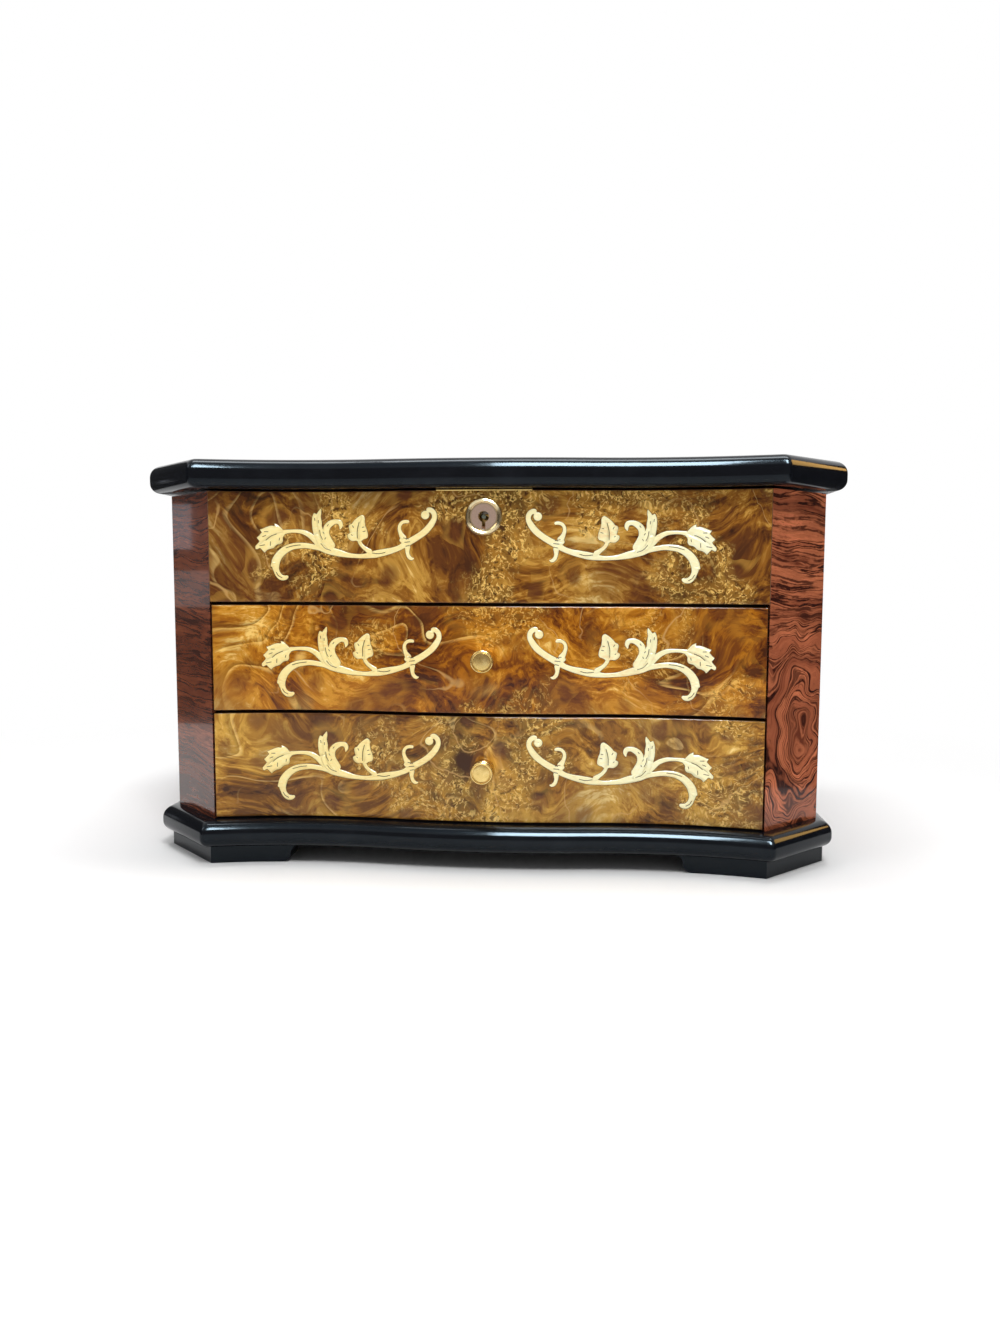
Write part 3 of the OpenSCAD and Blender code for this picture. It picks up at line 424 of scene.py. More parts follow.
def boxwoodInlay(p):
    # pale inlay: close-grained cream wood, a little darker here and there, paler on the right
    f = Finish("boxwoodInlay", IOR=1.5, Specular_IOR_Level=0.22, Coat_Weight=0.25, Coat_Roughness=0.05)
    at = f.coords()
    grain = f.noise(f.coords(turn=(0, 0.5, 0), stretch=(0.3, 1.0, 1.0)), 1300, 3, 0.55)
    figure = grain * 0.5 + f.noise(at, 90, 2, 0.5) * 0.5
    left, right = [f.ramp(figure, list(zip((0.30, 0.50, 0.70), p[side]))) for side in ("left", "right")]
    colour = f.mix(f.smooth(f.split(at)[0], p["fromX"], p["toX"]), left, right)
    return f.use(Base_Color=colour, Roughness=0.18 + grain * 0.12, Normal=f.bump(grain, 0.03, 0.0002))


def darkGlue():
    # the dark line of glue and stain round and inside the inlay
    f = Finish("darkGlue", IOR=1.5, Specular_IOR_Level=0.2)
    tone = f.noise(f.coords(), 400, 3, 0.6)
    colour = f.ramp(tone, [(0.35, (0.050, 0.028, 0.006)), (0.65, (0.130, 0.080, 0.020))])
    return f.use(Base_Color=colour, Roughness=0.30 + tone * 0.2)


brassLook = dict(low=(0.62, 0.43, 0.14), mid=(0.72, 0.52, 0.19), high=(0.80, 0.61, 0.26))


def polishedBrass(p):
    # brass: a little tarnish, fine scratches lying across
    f = Finish("polishedBrass", Metallic=1.0)
    tarnish = f.noise(f.coords(), 320, 4, 0.6)
    scratch = f.noise(f.coords(stretch=(1.0, 1.0, 14.0)), 600, 3, 0.6)
    colour = f.ramp(tarnish, [(0.30, p["low"]), (0.50, p["mid"]), (0.70, p["high"])])
    gloss = 0.12 + tarnish * 0.08 + scratch * 0.05
    return f.use(Base_Color=colour, Roughness=gloss, Normal=f.bump(scratch, 0.04, 0.0002))


# lock plate: tones of face, ring and wear, and the radii in metres between which face turns to ring; the pinkish
# face beside the yellower ring is a painted reflection
plateLook = dict(face=(0.98, 0.77, 0.64), ring=(0.66, 0.55, 0.32), worn=(0.50, 0.38, 0.24),
                 faceTo=0.0050, ringFrom=0.0062)


def wornPlateWithPaintedReflection(p):
    # lock plate: a painted reflection turns the face pinkish while the ring round it stays yellow; patchy real
    # wear over both
    f = Finish("paleBrass", Metallic=1.0)
    x, y, z = f.split(f.coords(shift=(0.0, 0.0, -chest["lockZ"] * mm)))
    wear = f.noise(f.coords(), 420, 4, 0.6)
    # painted reflection: the pinkish face turns to the yellower ring with the distance from the keyhole's middle
    ring = f.smooth(f.math("SQRT", x * x + z * z), p["faceTo"], p["ringFrom"])
    colour = f.mix(wear * 0.35, f.mix(ring, p["face"], p["ring"]), p["worn"])
    return f.use(Base_Color=colour, Roughness=0.13 + wear * 0.12, Normal=f.bump(wear, 0.05, 0.0002))


steels = dict(brightSteel=((0.34, 0.34, 0.33), (0.56, 0.56, 0.55)),
              oiledSteel=((0.06, 0.07, 0.05), (0.16, 0.17, 0.13)))


def wornSteel(name, low, high):
    f = Finish(name, Metallic=1.0)
    wear = f.noise(f.coords(), 500, 4, 0.6)
    return f.use(Base_Color=f.ramp(wear, [(0.30, low), (0.60, high)]), Roughness=0.22 + wear * 0.18)


def silveredGlass():
    # mirror with faint smears
    f = Finish("silveredGlass", Metallic=1.0)
    smear = f.smooth(f.noise(f.coords(), 30, 4, 0.6), 0.55, 0.80)
    colour = f.mix(smear * 0.25, (0.86, 0.88, 0.88), (0.78, 0.81, 0.80))
    return f.use(Base_Color=colour, Roughness=0.015 + smear * 0.05)


velvetLook = dict(low=(0.045, 0.004, 0.008), mid=(0.105, 0.008, 0.016), high=(0.185, 0.020, 0.032),
                  sheen=(0.75, 0.30, 0.34, 1.0))


def wineVelvet(p):
    # velvet: short pile with lighter crushed patches and a soft sheen at the rims
    f = Finish("wineVelvet", IOR=1.4, Specular_IOR_Level=0.12,
               Sheen_Weight=0.55, Sheen_Roughness=0.35, Sheen_Tint=p["sheen"])
    at = f.coords()
    pile = f.noise(at, 2600, 3, 0.6)
    nap = f.noise(at, 60, 4, 0.6)
    colour = f.ramp(nap * 0.6 + pile * 0.4, [(0.36, p["low"]), (0.52, p["mid"]), (0.68, p["high"])])
    return f.use(Base_Color=colour, Roughness=0.82 + pile * 0.12, Normal=f.bump(pile, 0.35, 0.0006))


lacquer = blackLacquer(lacquerLook)
burl = {key: burlVeneer("burlVeneer" + key, burlLook, look) for key, look in burls.items()}
rosewood = {key: rosewoodVeneer("rosewood" + key, look) for key, look in rosewoods.items()}
innerWood, edgeWood = [plainWood(name, look) for name, look in plainWoods.items()]
boxwood = boxwoodInlay(boxwoodLook)
glueLine = darkGlue()
brass = polishedBrass(brassLook)
paleBrass = wornPlateWithPaintedReflection(plateLook)
steel, oiledSteel = [wornSteel(name, *tones) for name, tones in steels.items()]
mirrorSilver = silveredGlass()
velvet = wineVelvet(velvetLook)

finishOf = {
    lacquer: ["base_moulding", "lid_board"]
    + [f"foot_{end}_{side}" for end in ("front", "rear") for side in ("left", "right")],
    rosewood["Right"]: ["corner_post_right"],
    rosewood["Left"]: ["corner_post_left"],
    rosewood["Side"]: ["side_panel_left", "side_panel_right", "back_panel"],
    edgeWood: ["front_panel", "upper_drawer_front", "lower_drawer_front"],
    burl["Lid"]: ["lid_veneer"],
    innerWood: ["compartment_floor", "drawer_shelf", "lower_drawer_guides", "upper_drawer_guides"]
    + [f"{d}_drawer_{p}" for d in ("upper", "lower") for p in ("left_side", "right_side", "back", "bottom")],
    paleBrass: ["lock_escutcheon"],
    brass: ["lock_case", "lock_screws", "lock_strike", "strike_screws", "hinge_body_leaves", "hinge_lid_leaves",
            "hinge_pins", "hinge_body_screws", "hinge_lid_screws", "upper_knob", "lower_knob"],
    oiledSteel: ["lock_key_pin"],
    steel: ["lock_bolt", "upper_knob_screw", "lower_knob_screw"],
    mirrorSilver: ["lid_mirror"],
    velvet: ["floor_pad", "wall_lining", "divider_long", "divider_cross", "divider_short", "ring_rolls",
             "mirror_frame", "upper_drawer_pad", "lower_drawer_pad"],
}
for material, names in finishOf.items():
    for name in names:
        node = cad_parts[name]
        node.data.materials.clear()
        node.data.materials.append(material)
print("finishes on the CAD nodes:", sum(len(n) for n in finishOf.values()))


# mouldings: the half-round nose carried round the plan, each ring drawn in by its own distance
ringSteps = dict(front=161, side=12, corner=6, nose=9)


def planRing(front, side, corner, inset, backY, turnIn):
    # right back corner, right side, cant, serpentine front, cant, left side, left back corner
    front, side, corner = front - inset, side - inset, corner - inset
    sideX = chest["halfWidth"] + side
    cantLine = chest["cornerX"] + corner * math.sqrt(2)
    # where the cant meets the circle of the hollow
    reach = cantLine - chest["hollowX"]
    hollowY = chest["hollowDepth"] - chest["hollowR"]
    r = chest["hollowR"] - front
    halfSum = reach - hollowY
    frontY = (-halfSum + math.sqrt(halfSum ** 2 - 2 * (reach ** 2 + hollowY ** 2 - r ** 2))) / 2
    frontX = cantLine + frontY
    sideY = sideX - cantLine

    def turn(a, corner, b):
        # rounded corner: a parabola from a to b that leans on the corner point
        t = np.linspace(0, 1, ringSteps["corner"])[:, None]
        return (1 - t) ** 2 * a + 2 * t * (1 - t) * corner + t ** 2 * b

    cantWay = np.array([frontX - sideX, frontY - sideY])
    cantWay /= np.linalg.norm(cantWay)
    c1, c2 = np.array([sideX, sideY]), np.array([frontX, frontY])
    edgeX = frontX - turnIn
    first = turn(c1 + [0, turnIn], c1, c1 + cantWay * turnIn)
    second = turn(c2 - cantWay * turnIn, c2, np.array([edgeX, float(frontCurve(edgeX, front))]))
    x = np.linspace(edgeX, -edgeX, ringSteps["front"])[1:-1]
    middle = np.stack([x, frontCurve(x, front)], axis=-1)
    y = np.linspace(backY, sideY + turnIn, ringSteps["side"] + 1)[:-1]
    right = np.concatenate([np.stack([np.full(len(y), sideX), y], axis=-1), first, second])
    return np.concatenate([right, middle, right[::-1] * [-1, 1]])


def noseProfile(thick, topR, bottomR):
    # distance in from the outermost line and height: quarter round, short flat, quarter round
    w = np.linspace(0, math.pi / 2, ringSteps["nose"])
    low = np.stack([bottomR * (1 - np.sin(w)), bottomR * (1 - np.cos(w))], axis=-1)
    high = np.stack([topR * (1 - np.cos(w)), thick - topR * (1 - np.sin(w))], axis=-1)
    return [*low.tolist(), *high.tolist()]


def noseRings(p, rows, z0, backOf):
    # one ring of the plan for each distance in and height
    rings = []
    for inset, height in rows:
        ring = planRing(p["front"], p["side"], p["corner"], inset, backOf(inset, height), p["turnIn"])
        rings.append(place(ring[:, 0], ring[:, 1], z0 + height))
    return rings


def nosedShell(name, rings, body, node):
    faces = tubeFaces(len(rings), len(rings[0]))
    obj = makePiece(name, np.concatenate(rings), faces, lacquer, body, sharp=40)
    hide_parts(node)


lidPiece = dict(thick=12.8, front=8.5, side=7.5, corner=10.5, topR=5.5, bottomR=4.5, under=13.0, turnIn=1.6,
                seatIn=15.15, seatDepth=1.3, recess=(126.0, 71.0), recessMid=97.0, recessDepth=4.05,
                hingeY=187.4, bevel=50.0)


def lidShell(p):
    def backOf(inset, height):
        # the back edge is cut away below by the stop bevel; the veneer's seat keeps its border at the back too
        if inset == p["seatIn"]:
            return chest["depth"] - p["seatIn"]
        return min(chest["depth"], p["hingeY"] + height / math.tan(math.radians(p["bevel"])))

    nose = noseProfile(p["thick"], p["topR"], p["bottomR"])
    seat = [(p["seatIn"], p["thick"]), (p["seatIn"], p["thick"] - p["seatDepth"])]
    rings = noseRings(p, [(p["under"], 0.0), *nose, *seat], chest["lidZ"], backOf)
    # underside: the ring is carried in to the recess that holds the mirror, then up its walls
    flat = rings[0] / mm
    dx, dy = flat[:, 0], flat[:, 1] - chest["frontLine"] - p["recessMid"]
    k = 1 / np.maximum(np.abs(dx) / p["recess"][0], np.abs(dy) / p["recess"][1])
    wall = [place(dx * k, dy * k + p["recessMid"], chest["lidZ"] + h) for h in (p["recessDepth"], 0.0)]
    nosedShell("lidShell", wall + rings, "lid", "lid_board")


basePiece = dict(thick=11.8, front=9.0, side=6.0, corner=9.0, topR=5.5, bottomR=4.5, under=14.0, turnIn=1.6,
                 over=16.0)


def baseShell(p):
    nose = noseProfile(p["thick"], p["topR"], p["bottomR"])
    rows = [(p["under"], 0.0), *nose, (p["over"], p["thick"])]
    rings = noseRings(p, rows, chest["baseBottom"], lambda inset, height: chest["depth"])
    nosedShell("baseShell", rings, "carcass", "base_moulding")


lidShell(lidPiece)
baseShell(basePiece)
print("mouldings done")


# burl faces: a thin veneer on each front, its edges eased
veneerFaces = dict(
    proud=0.15, side=0.10, ease=0.55, depth=1.0, keyholeClear=4.7, topOver=0.02,
    easeSteps=6, across=261, upward=52,
    top=dict(half=122.9, low=118.6, high=167.5, body="carcass", material=burl["Top"], hole=True),
    middle=dict(half=122.2, low=69.6, high=117.0, body="upper_drawer", material=burl["Middle"], hole=False),
    low=dict(half=122.2, low=20.6, high=68.0, body="lower_drawer", material=burl["Low"], hole=False),
)


def burlFace(name, p, q):
    # grid over the front: x and height; y follows the serpentine and drops back along a quarter round at the rims
    ease = p["ease"]
    border = ease * (1 - np.cos(np.linspace(0, math.pi / 2, p["easeSteps"])))
    half = q["half"] + (0 if q["hole"] else p["side"])
    low, high = q["low"] - p["side"], q["high"] + (p["topOver"] if q["hole"] else p["side"])

    def spread(low, high, count):
        # close lines along the eased rims, even ones between
        even = np.linspace(low + ease, high - ease, count)[1:-1]
        return np.concatenate([low + border, even, high - border[::-1]])

    x, z = np.meshgrid(spread(-half, half, p["across"]), spread(low, high, p["upward"]), indexing="ij")
    inX = np.minimum(half - np.abs(x), ease)
    inZ = np.minimum(np.minimum(z - low, high - z), ease)
    away = np.hypot(ease - inX, ease - inZ)
    drop = ease - np.sqrt(np.maximum(ease ** 2 - np.minimum(away, ease) ** 2, 0))
    points = place(x, frontCurve(x, p["proud"]) + drop, z)
    faces = gridFaces(*x.shape)[:, ::-1]  # facing forward
    if q["hole"]:
        centre = np.hypot(x, z - chest["lockZ"]).ravel()[faces].mean(axis=1)
        faces = faces[centre > p["keyholeClear"]]
    obj = makePiece(name, points, faces, q["material"], q["body"], closed=False, sharp=60)
    thicken(obj, p["depth"] * mm)


for key in ("top", "middle", "low"):
    burlFace(key + "BurlFace", veneerFaces, veneerFaces[key])
print("burl faces done")


# scroll inlay, drawn for the left half of the top front; x and height in millimetres
inlay = dict(
    out=0.22, thick=0.14, step=0.005, layers=13, glueLine=0.16, glueOut=0.175, strokeWidth=0.30,
    thinStep=0.0005, thin=0.05, leastHalf=0.08, tipCut=0.22, perPoint=9, ribSteps=60,
    # shift of the drawing on each front, left and right
    sway=dict(top=((0.0, 0.0), (2.4, -0.8)), middle=((1.9, -52.6), (1.5, -52.1)),
              low=((1.4, -100.2), (1.6, -100.2))),
    # ribbons: x, height, width
    ribbons=dict(
        stem=[
            (-88.5, 130.1, 0.9), (-89.7, 129.4, 1.9), (-91.4, 129.4, 2.4), (-92.9, 130.7, 2.5),
            (-93.7, 132.5, 2.5), (-94.1, 134.5, 3.2), (-94.0, 136.2, 3.7), (-93.1, 138.3, 3.5),
            (-91.5, 140.3, 3.3), (-89.5, 141.9, 3.1), (-86.9, 143.1, 2.8), (-84.0, 143.6, 2.6),
            (-80.9, 143.7, 2.3), (-77.4, 143.2, 2.2), (-74.2, 142.6, 2.3), (-70.8, 141.6, 3.0),
            (-67.5, 140.9, 3.2), (-64.6, 140.2, 2.9), (-61.6, 139.5, 2.2), (-58.2, 139.1, 1.8),
            (-54.5, 139.0, 1.9), (-51.8, 139.3, 2.4), (-49.0, 139.8, 3.1), (-45.0, 140.6, 3.0),
            (-40.3, 141.7, 2.4), (-37.3, 142.8, 2.3), (-34.5, 144.5, 3.0), (-31.2, 146.3, 2.8),
            (-28.1, 148.2, 2.7), (-25.1, 150.6, 2.8), (-22.9, 153.4, 2.6), (-21.8, 155.8, 2.2),
            (-22.1, 157.7, 2.2), (-23.7, 159.1, 2.2), (-25.4, 158.7, 2.6),
        ],
        upper=[
            (-74.2, 143.6, 2.4), (-76.4, 146.3, 2.6), (-78.8, 148.4, 2.3), (-81.6, 149.7, 1.9),
            (-84.8, 150.1, 1.5), (-87.9, 150.0, 1.5), (-90.9, 149.5, 2.2),
        ],
        curl=[
            (-68.1, 142.2, 4.0), (-70.0, 145.6, 3.4), (-71.1, 149.0, 2.8), (-70.7, 151.8, 2.9),
            (-68.8, 153.6, 2.6), (-66.5, 154.3, 2.0), (-64.9, 153.9, 2.1), (-64.4, 152.6, 1.8),
            (-64.8, 150.8, 0.3),
        ],
        heartStem=[
            (-50.5, 140.4, 3.0), (-52.7, 141.9, 1.9), (-54.5, 143.3, 1.6), (-55.7, 144.9, 1.6),
            (-56.2, 146.4, 1.8),
        ],
        upCurl=[
            (-35.0, 146.0, 3.4), (-36.3, 147.6, 2.4), (-37.2, 149.4, 1.7), (-37.6, 151.0, 1.5),
            (-37.3, 152.6, 1.4), (-36.1, 153.8, 1.4), (-34.6, 154.1, 1.4), (-33.1, 153.9, 1.2),
        ],
        downCurl=[
            (-33.8, 143.9, 3.0), (-34.0, 141.9, 2.1), (-33.9, 140.1, 1.6), (-33.2, 138.5, 1.6),
            (-32.1, 137.8, 1.3), (-31.0, 138.0, 0.3),
        ],
    ),
    # leaves: rim, then rib from foot to tip
    leaves=dict(
        maple=(
            [(-90.5, 150.5), (-91.0, 151.1), (-91.9, 152.1), (-92.7, 152.8), (-93.5, 153.2), (-94.3, 153.5),
             (-94.0, 152.7), (-94.4, 152.3), (-95.8, 152.5), (-97.5, 152.0), (-98.9, 151.4), (-100.0, 150.9),
             (-100.8, 150.8), (-100.0, 150.2), (-99.3, 149.9), (-100.3, 149.0), (-101.2, 147.9),
             (-102.2, 147.1), (-101.5, 146.6), (-100.7, 146.3), (-101.2, 145.1), (-102.1, 144.1),
             (-102.9, 143.2), (-102.7, 142.1), (-102.1, 141.9), (-101.3, 142.4), (-100.2, 142.7),
             (-99.5, 142.5), (-99.4, 141.7), (-99.1, 140.8), (-98.7, 140.5), (-98.0, 141.4), (-96.8, 142.1),
             (-95.4, 142.4), (-94.7, 142.7), (-94.0, 143.5), (-93.3, 144.1), (-92.3, 144.4), (-91.3, 144.6),
             (-90.7, 145.4), (-90.6, 146.3), (-90.7, 147.2), (-90.2, 148.1), (-89.5, 148.7)],
            [(-90.2, 149.7), (-93.3, 148.7), (-97.3, 146.7), (-100.4, 144.6), (-101.9, 143.2)],
        ),
        blade=(
            [(-76.6, 148.1), (-77.2, 150.4), (-77.4, 152.4), (-77.5, 154.3), (-77.3, 156.3), (-76.9, 157.4),
             (-76.5, 158.2), (-75.8, 157.7), (-75.4, 157.5), (-74.7, 158.6), (-74.0, 159.4), (-73.4, 160.1),
             (-73.2, 159.1), (-73.2, 158.0), (-73.5, 156.6), (-73.3, 155.2), (-73.0, 153.8), (-73.1, 152.4),
             (-72.8, 151.4), (-71.8, 149.0), (-70.7, 145.9), (-69.0, 143.3), (-67.3, 140.8), (-70.2, 140.8),
             (-73.1, 142.2), (-74.8, 143.6), (-75.9, 145.9)],
            [(-70.5, 141.9), (-72.8, 144.7), (-74.2, 148.1), (-75.1, 151.8), (-75.4, 155.2), (-74.4, 157.8)],
        ),
        heart=(
            [(-56.9, 145.6), (-57.5, 145.9), (-58.5, 145.7), (-59.4, 145.7), (-60.3, 146.2), (-61.1, 147.0),
             (-61.4, 148.0), (-61.3, 148.6), (-60.6, 149.0), (-60.1, 149.2), (-60.3, 149.9), (-60.6, 151.1),
             (-60.8, 152.2), (-60.4, 152.9), (-59.3, 153.3), (-58.8, 154.1), (-58.1, 154.9), (-56.8, 156.0),
             (-55.6, 156.8), (-54.8, 157.2), (-54.0, 156.9), (-53.6, 156.4), (-53.4, 155.5), (-53.5, 154.3),
             (-53.3, 153.3), (-53.2, 152.1), (-52.7, 151.1), (-52.4, 150.2), (-52.1, 149.0), (-52.0, 147.8),
             (-52.5, 146.9), (-53.2, 146.7), (-54.2, 146.4), (-54.9, 145.8), (-55.7, 145.3)],
            [(-56.2, 145.9), (-56.7, 149.0), (-56.2, 152.6), (-54.9, 155.8)],
        ),
        barb=(
            [(-95.7, 136.4), (-96.1, 135.4), (-96.2, 134.3), (-95.4, 134.1), (-94.8, 133.7), (-93.3, 134.7),
             (-93.8, 136.4)],
            [(-93.8, 135.3), (-95.3, 135.2)],
        ),
        bud=(
            [(-36.3, 147.6), (-37.1, 146.9), (-37.7, 146.0), (-37.3, 145.3), (-36.2, 144.4), (-34.5, 144.8),
             (-34.8, 146.9)],
            [(-35.0, 145.8), (-36.8, 146.0)],
        ),
    ),
    balls=[(-25.9, 156.9, 1.85)],
    # engraved strokes filled with dark stain
    strokes=[
        [(-98.3, 145.9), (-95.9, 147.8), (-93.3, 148.9)], [(-99.7, 147.5), (-98.0, 148.2)],
        [(-98.9, 149.8), (-97.0, 149.8)], [(-92.3, 145.9), (-92.0, 147.2)], [(-101.1, 143.5), (-98.5, 144.0)],
        [(-96.1, 145.5), (-96.2, 143.5)], [(-76.3, 156.0), (-76.1, 154.6)], [(-74.6, 155.0), (-74.6, 153.6)],
        [(-74.1, 150.7), (-73.6, 148.1), (-72.7, 146.3)], [(-72.6, 149.8), (-72.0, 148.9)],
        [(-71.8, 146.4), (-71.3, 147.3)], [(-73.7, 144.7), (-71.6, 142.5), (-68.9, 141.5)],
        [(-70.7, 152.2), (-70.0, 153.1)], [(-89.5, 142.6), (-86.0, 143.6), (-82.6, 144.0)],
        [(-93.9, 131.9), (-92.8, 130.2), (-91.2, 129.3)], [(-56.9, 146.7), (-56.9, 150.2), (-55.9, 154.3)],
        [(-59.1, 152.6), (-58.5, 151.5)], [(-59.7, 148.6), (-59.1, 148.1)], [(-54.7, 151.7), (-53.6, 151.9)],
        [(-54.4, 149.8), (-53.1, 150.1)], [(-35.9, 147.0), (-33.3, 146.5)], [(-35.4, 145.0), (-32.7, 145.3)],
        [(-34.8, 143.3), (-33.0, 143.7)], [(-50.2, 140.4), (-46.5, 140.1), (-44.0, 140.7)],
    ],
)


def rounded(t):
    # quarter circle that rises from nought to one
    return np.sqrt(np.maximum(1 - (1 - np.minimum(t, 1.0)) ** 2, 0))


def smoothLine(points, count):
    # smooth curve through the points: cubic pieces whose slope at a point runs along its two neighbours
    p = np.asarray(points, float)
    step = np.linalg.norm(np.diff(p[:, :2], axis=0), axis=1)
    s = np.concatenate([[0], np.cumsum(step)])
    slope = np.gradient(p, s, axis=0)
    t = np.linspace(0, s[-1], count)
    k = np.clip(np.searchsorted(s, t, side="right") - 1, 0, len(s) - 2)
    h = (s[k + 1] - s[k])[:, None]
    w = ((t - s[k]) / (s[k + 1] - s[k]))[:, None]
    line = ((2 * w ** 3 - 3 * w ** 2 + 1) * p[k] + (w ** 3 - 2 * w ** 2 + w) * h * slope[k]
            + (3 * w ** 2 - 2 * w ** 3) * p[k + 1] + (w ** 3 - w ** 2) * h * slope[k + 1])
    return line, t


def ribbonPatch(points, grow=0.0, across=5):
    # ribbon: the line's point plus its normal times half the width, with round ends
    line, t = smoothLine(points, inlay["perPoint"] * len(points))
    way = np.gradient(line[:, :2], axis=0)
    way /= np.linalg.norm(way, axis=1)[:, None]
    normal = np.stack([-way[:, 1], way[:, 0]], axis=-1)
    half = np.maximum(line[:, 2] / 2, inlay["leastHalf"]) + grow
    half = half * np.maximum(rounded(np.minimum(t / half[0], (t[-1] - t) / half[-1])), 0.01)
    v = np.linspace(-1, 1, across)
    return line[:, None, :2] + normal[:, None, :] * half[:, None, None] * v[None, :, None]


def leafPatch(rim, rib, grow=0.0, across=4):
    # leaf: every point of the rim is joined to the nearest point of the rib
    rim, cut = np.asarray(rim, float), inlay["tipCut"]
    ahead = np.roll(rim, -1, axis=0)
    rim = np.stack([rim * (1 - cut) + ahead * cut, rim * cut + ahead * (1 - cut)], axis=1).reshape(-1, 2)
    way = np.roll(rim, -1, axis=0) - np.roll(rim, 1, axis=0)
    normal = np.stack([way[:, 1], -way[:, 0]], axis=-1) / np.linalg.norm(way, axis=1)[:, None]
    turn = np.cross(rim, np.roll(rim, -1, axis=0)).sum()
    rim = rim + normal * grow * np.sign(turn)
    rim = np.concatenate([rim, rim[:1]])
    line, t = smoothLine(rib, inlay["ribSteps"])
    near = np.argmin(np.linalg.norm(rim[:, None] - line[None], axis=2), axis=1)
    v = np.linspace(0, 1, across)[:, None, None]
    return line[near][None] * (1 - v) + rim[None] * v


def ballPatch(x, z, radius, grow=0.0, rings=4, around=32):
    # round end of a scroll: circles of growing radius
    r = np.linspace(0.02, 1, rings)[:, None] * (radius + grow)
    a = np.linspace(0, 2 * math.pi, around + 1)
    return np.stack([x + r * np.cos(a), z + r * np.sin(a)], axis=-1)


def drawnPatches(grow):
    patches = [ribbonPatch(r, grow) for r in inlay["ribbons"].values()]
    patches += [leafPatch(rim, rib, grow) for rim, rib in inlay["leaves"].values()]
    return patches + [ballPatch(*ball, grow) for ball in inlay["balls"]]


def layFlat(name, body, sign, shift, patches, out, step, thick, material, slotName):
    # lays flat drawings on the serpentine front, each a hair above the one before, facing forward
    verts, faces, start = [], [], 0
    for level, xz in enumerate(patches):
        x, z = (xz[..., 0] + shift[0]) * sign, xz[..., 1] + shift[1]
        quads = gridFaces(*x.shape)
        c = np.stack([x.ravel(), z.ravel()], axis=-1)[quads]
        area = np.cross(c[:, 2] - c[:, 0], c[:, 3] - c[:, 1])
        quads = np.where((area > 0)[:, None], quads, quads[:, ::-1])
        faces.append(quads[np.abs(area) > 1e-9] + start)
        verts.append(place(x, frontCurve(x, out + step * level), z).reshape(-1, 3))
        start += x.size
    obj = makePiece(name, np.concatenate(verts), np.concatenate(faces), material, body, closed=False)
    thicken(obj, thick * mm)


def scrollInlay(p, key, body):
    strokes = [ribbonPatch([(*q, p["strokeWidth"]) for q in stroke], across=3) for stroke in p["strokes"]]
    thin, top = p["thinStep"], p["out"] + p["step"] * p["layers"]
    kinds = dict(
        GlueLine=(drawnPatches(p["glueLine"]), p["glueOut"], thin, p["thin"], glueLine, "stained_wood"),
        Scroll=(drawnPatches(0.0), p["out"], p["step"], p["thick"], boxwood, "burl_veneer"),
        Strokes=(strokes, top, thin, p["thin"], glueLine, "stained_wood"),
    )
    for side, sign, shift in zip(("Left", "Right"), (1, -1), p["sway"][key]):
        for kind, look in kinds.items():
            layFlat(key + kind + side, body, sign, shift, *look)


for key in ("top", "middle", "low"):
    scrollInlay(inlay, key, veneerFaces[key]["body"])
print("scroll inlay done")


# knobs: a turned profile of radius and distance from the front, carried round the axis
knob = dict(
    levels=dict(upper=93.3, lower=44.3), face=2.5, around=72,
    turned=[(4.72, -0.4), (4.80, 0.0), (5.0, 0.25), (5.0, 5.85), (4.82, 6.05), (4.42, 6.25), (4.40, 6.75),
            (4.84, 6.95), (5.0, 7.15), (5.0, 8.75), (4.88, 9.12), (4.62, 9.28), (4.36, 9.22), (4.16, 8.76),
            (3.80, 8.72), (3.62, 9.06), (3.0, 9.12), (1.5, 9.17), (0.04, 9.18)],
)


def turnedKnob(name, z, p, node, body):
    r, d = np.array(p["turned"]).T[..., None]
    a = circle(p["around"])
    points = place(r * np.cos(a), p["face"] - d, z + r * np.sin(a))
    obj = makePiece(name, points, tubeFaces(len(r), p["around"]), brass, body, sharp=50)
    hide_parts(node)


for drawer in ("upper", "lower"):
    turnedKnob(drawer + "TurnedKnob", knob["levels"][drawer], knob, drawer + "_knob", drawer + "_drawer")
print("knobs done")


# lock plate's rolled front edge: a fine brass bead along the joint over the lock
plateBead = dict(half=21.0, z=167.72, radius=0.44, flat=0.6, out=0.35, around=14, steps=60)


def lockPlateBead(p):
    # bead: flattened circle carried along the serpentine line, its ends closed
    x = np.linspace(-p["half"], p["half"], p["steps"])[:, None]
    a = circle(p["around"])
    y = frontCurve(x, p["out"]) + p["radius"] * p["flat"] * (1 - np.cos(a))
    faces = tubeFaces(p["steps"], p["around"])
    points = place(x, y, p["z"] + p["radius"] * np.sin(a))
    makePiece("lockPlateBead", points, faces, brass, "carcass", sharp=50)


lockPlateBead(plateBead)
print("lock plate edge done")


# soft pieces: velvet over a filling, each in place of its CAD node
def softPiece(name, points, faces, node, body, sharp=70):
    obj = makePiece(name, points, faces, velvet, body, sharp=sharp)
    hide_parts(node)


def evenly(corners, spacing=4.0):
    # points along a closed line of corners, about evenly apart
    corners = np.asarray(corners, float)
    parts = []
    for a, b in zip(corners, np.roll(corners, -1, axis=0)):
        n = max(2, int(np.linalg.norm(b - a) / spacing))
        parts.append(a + (b - a) * np.linspace(0, 1, n, endpoint=False)[:, None])
    return np.concatenate(parts)


def interior(inset):
    # clear space inside walls and posts, drawn in
    line = chest["cornerX"] - chest["postReach"] - inset * math.sqrt(2)
    y0, x1 = chest["frontBack"] + inset, chest["innerX"] - inset
    right = [(line + y0, y0), (x1, x1 - line), (x1, chest["innerY"] - inset)]
    return right + [(-x, y) for x, y in right[::-1]]


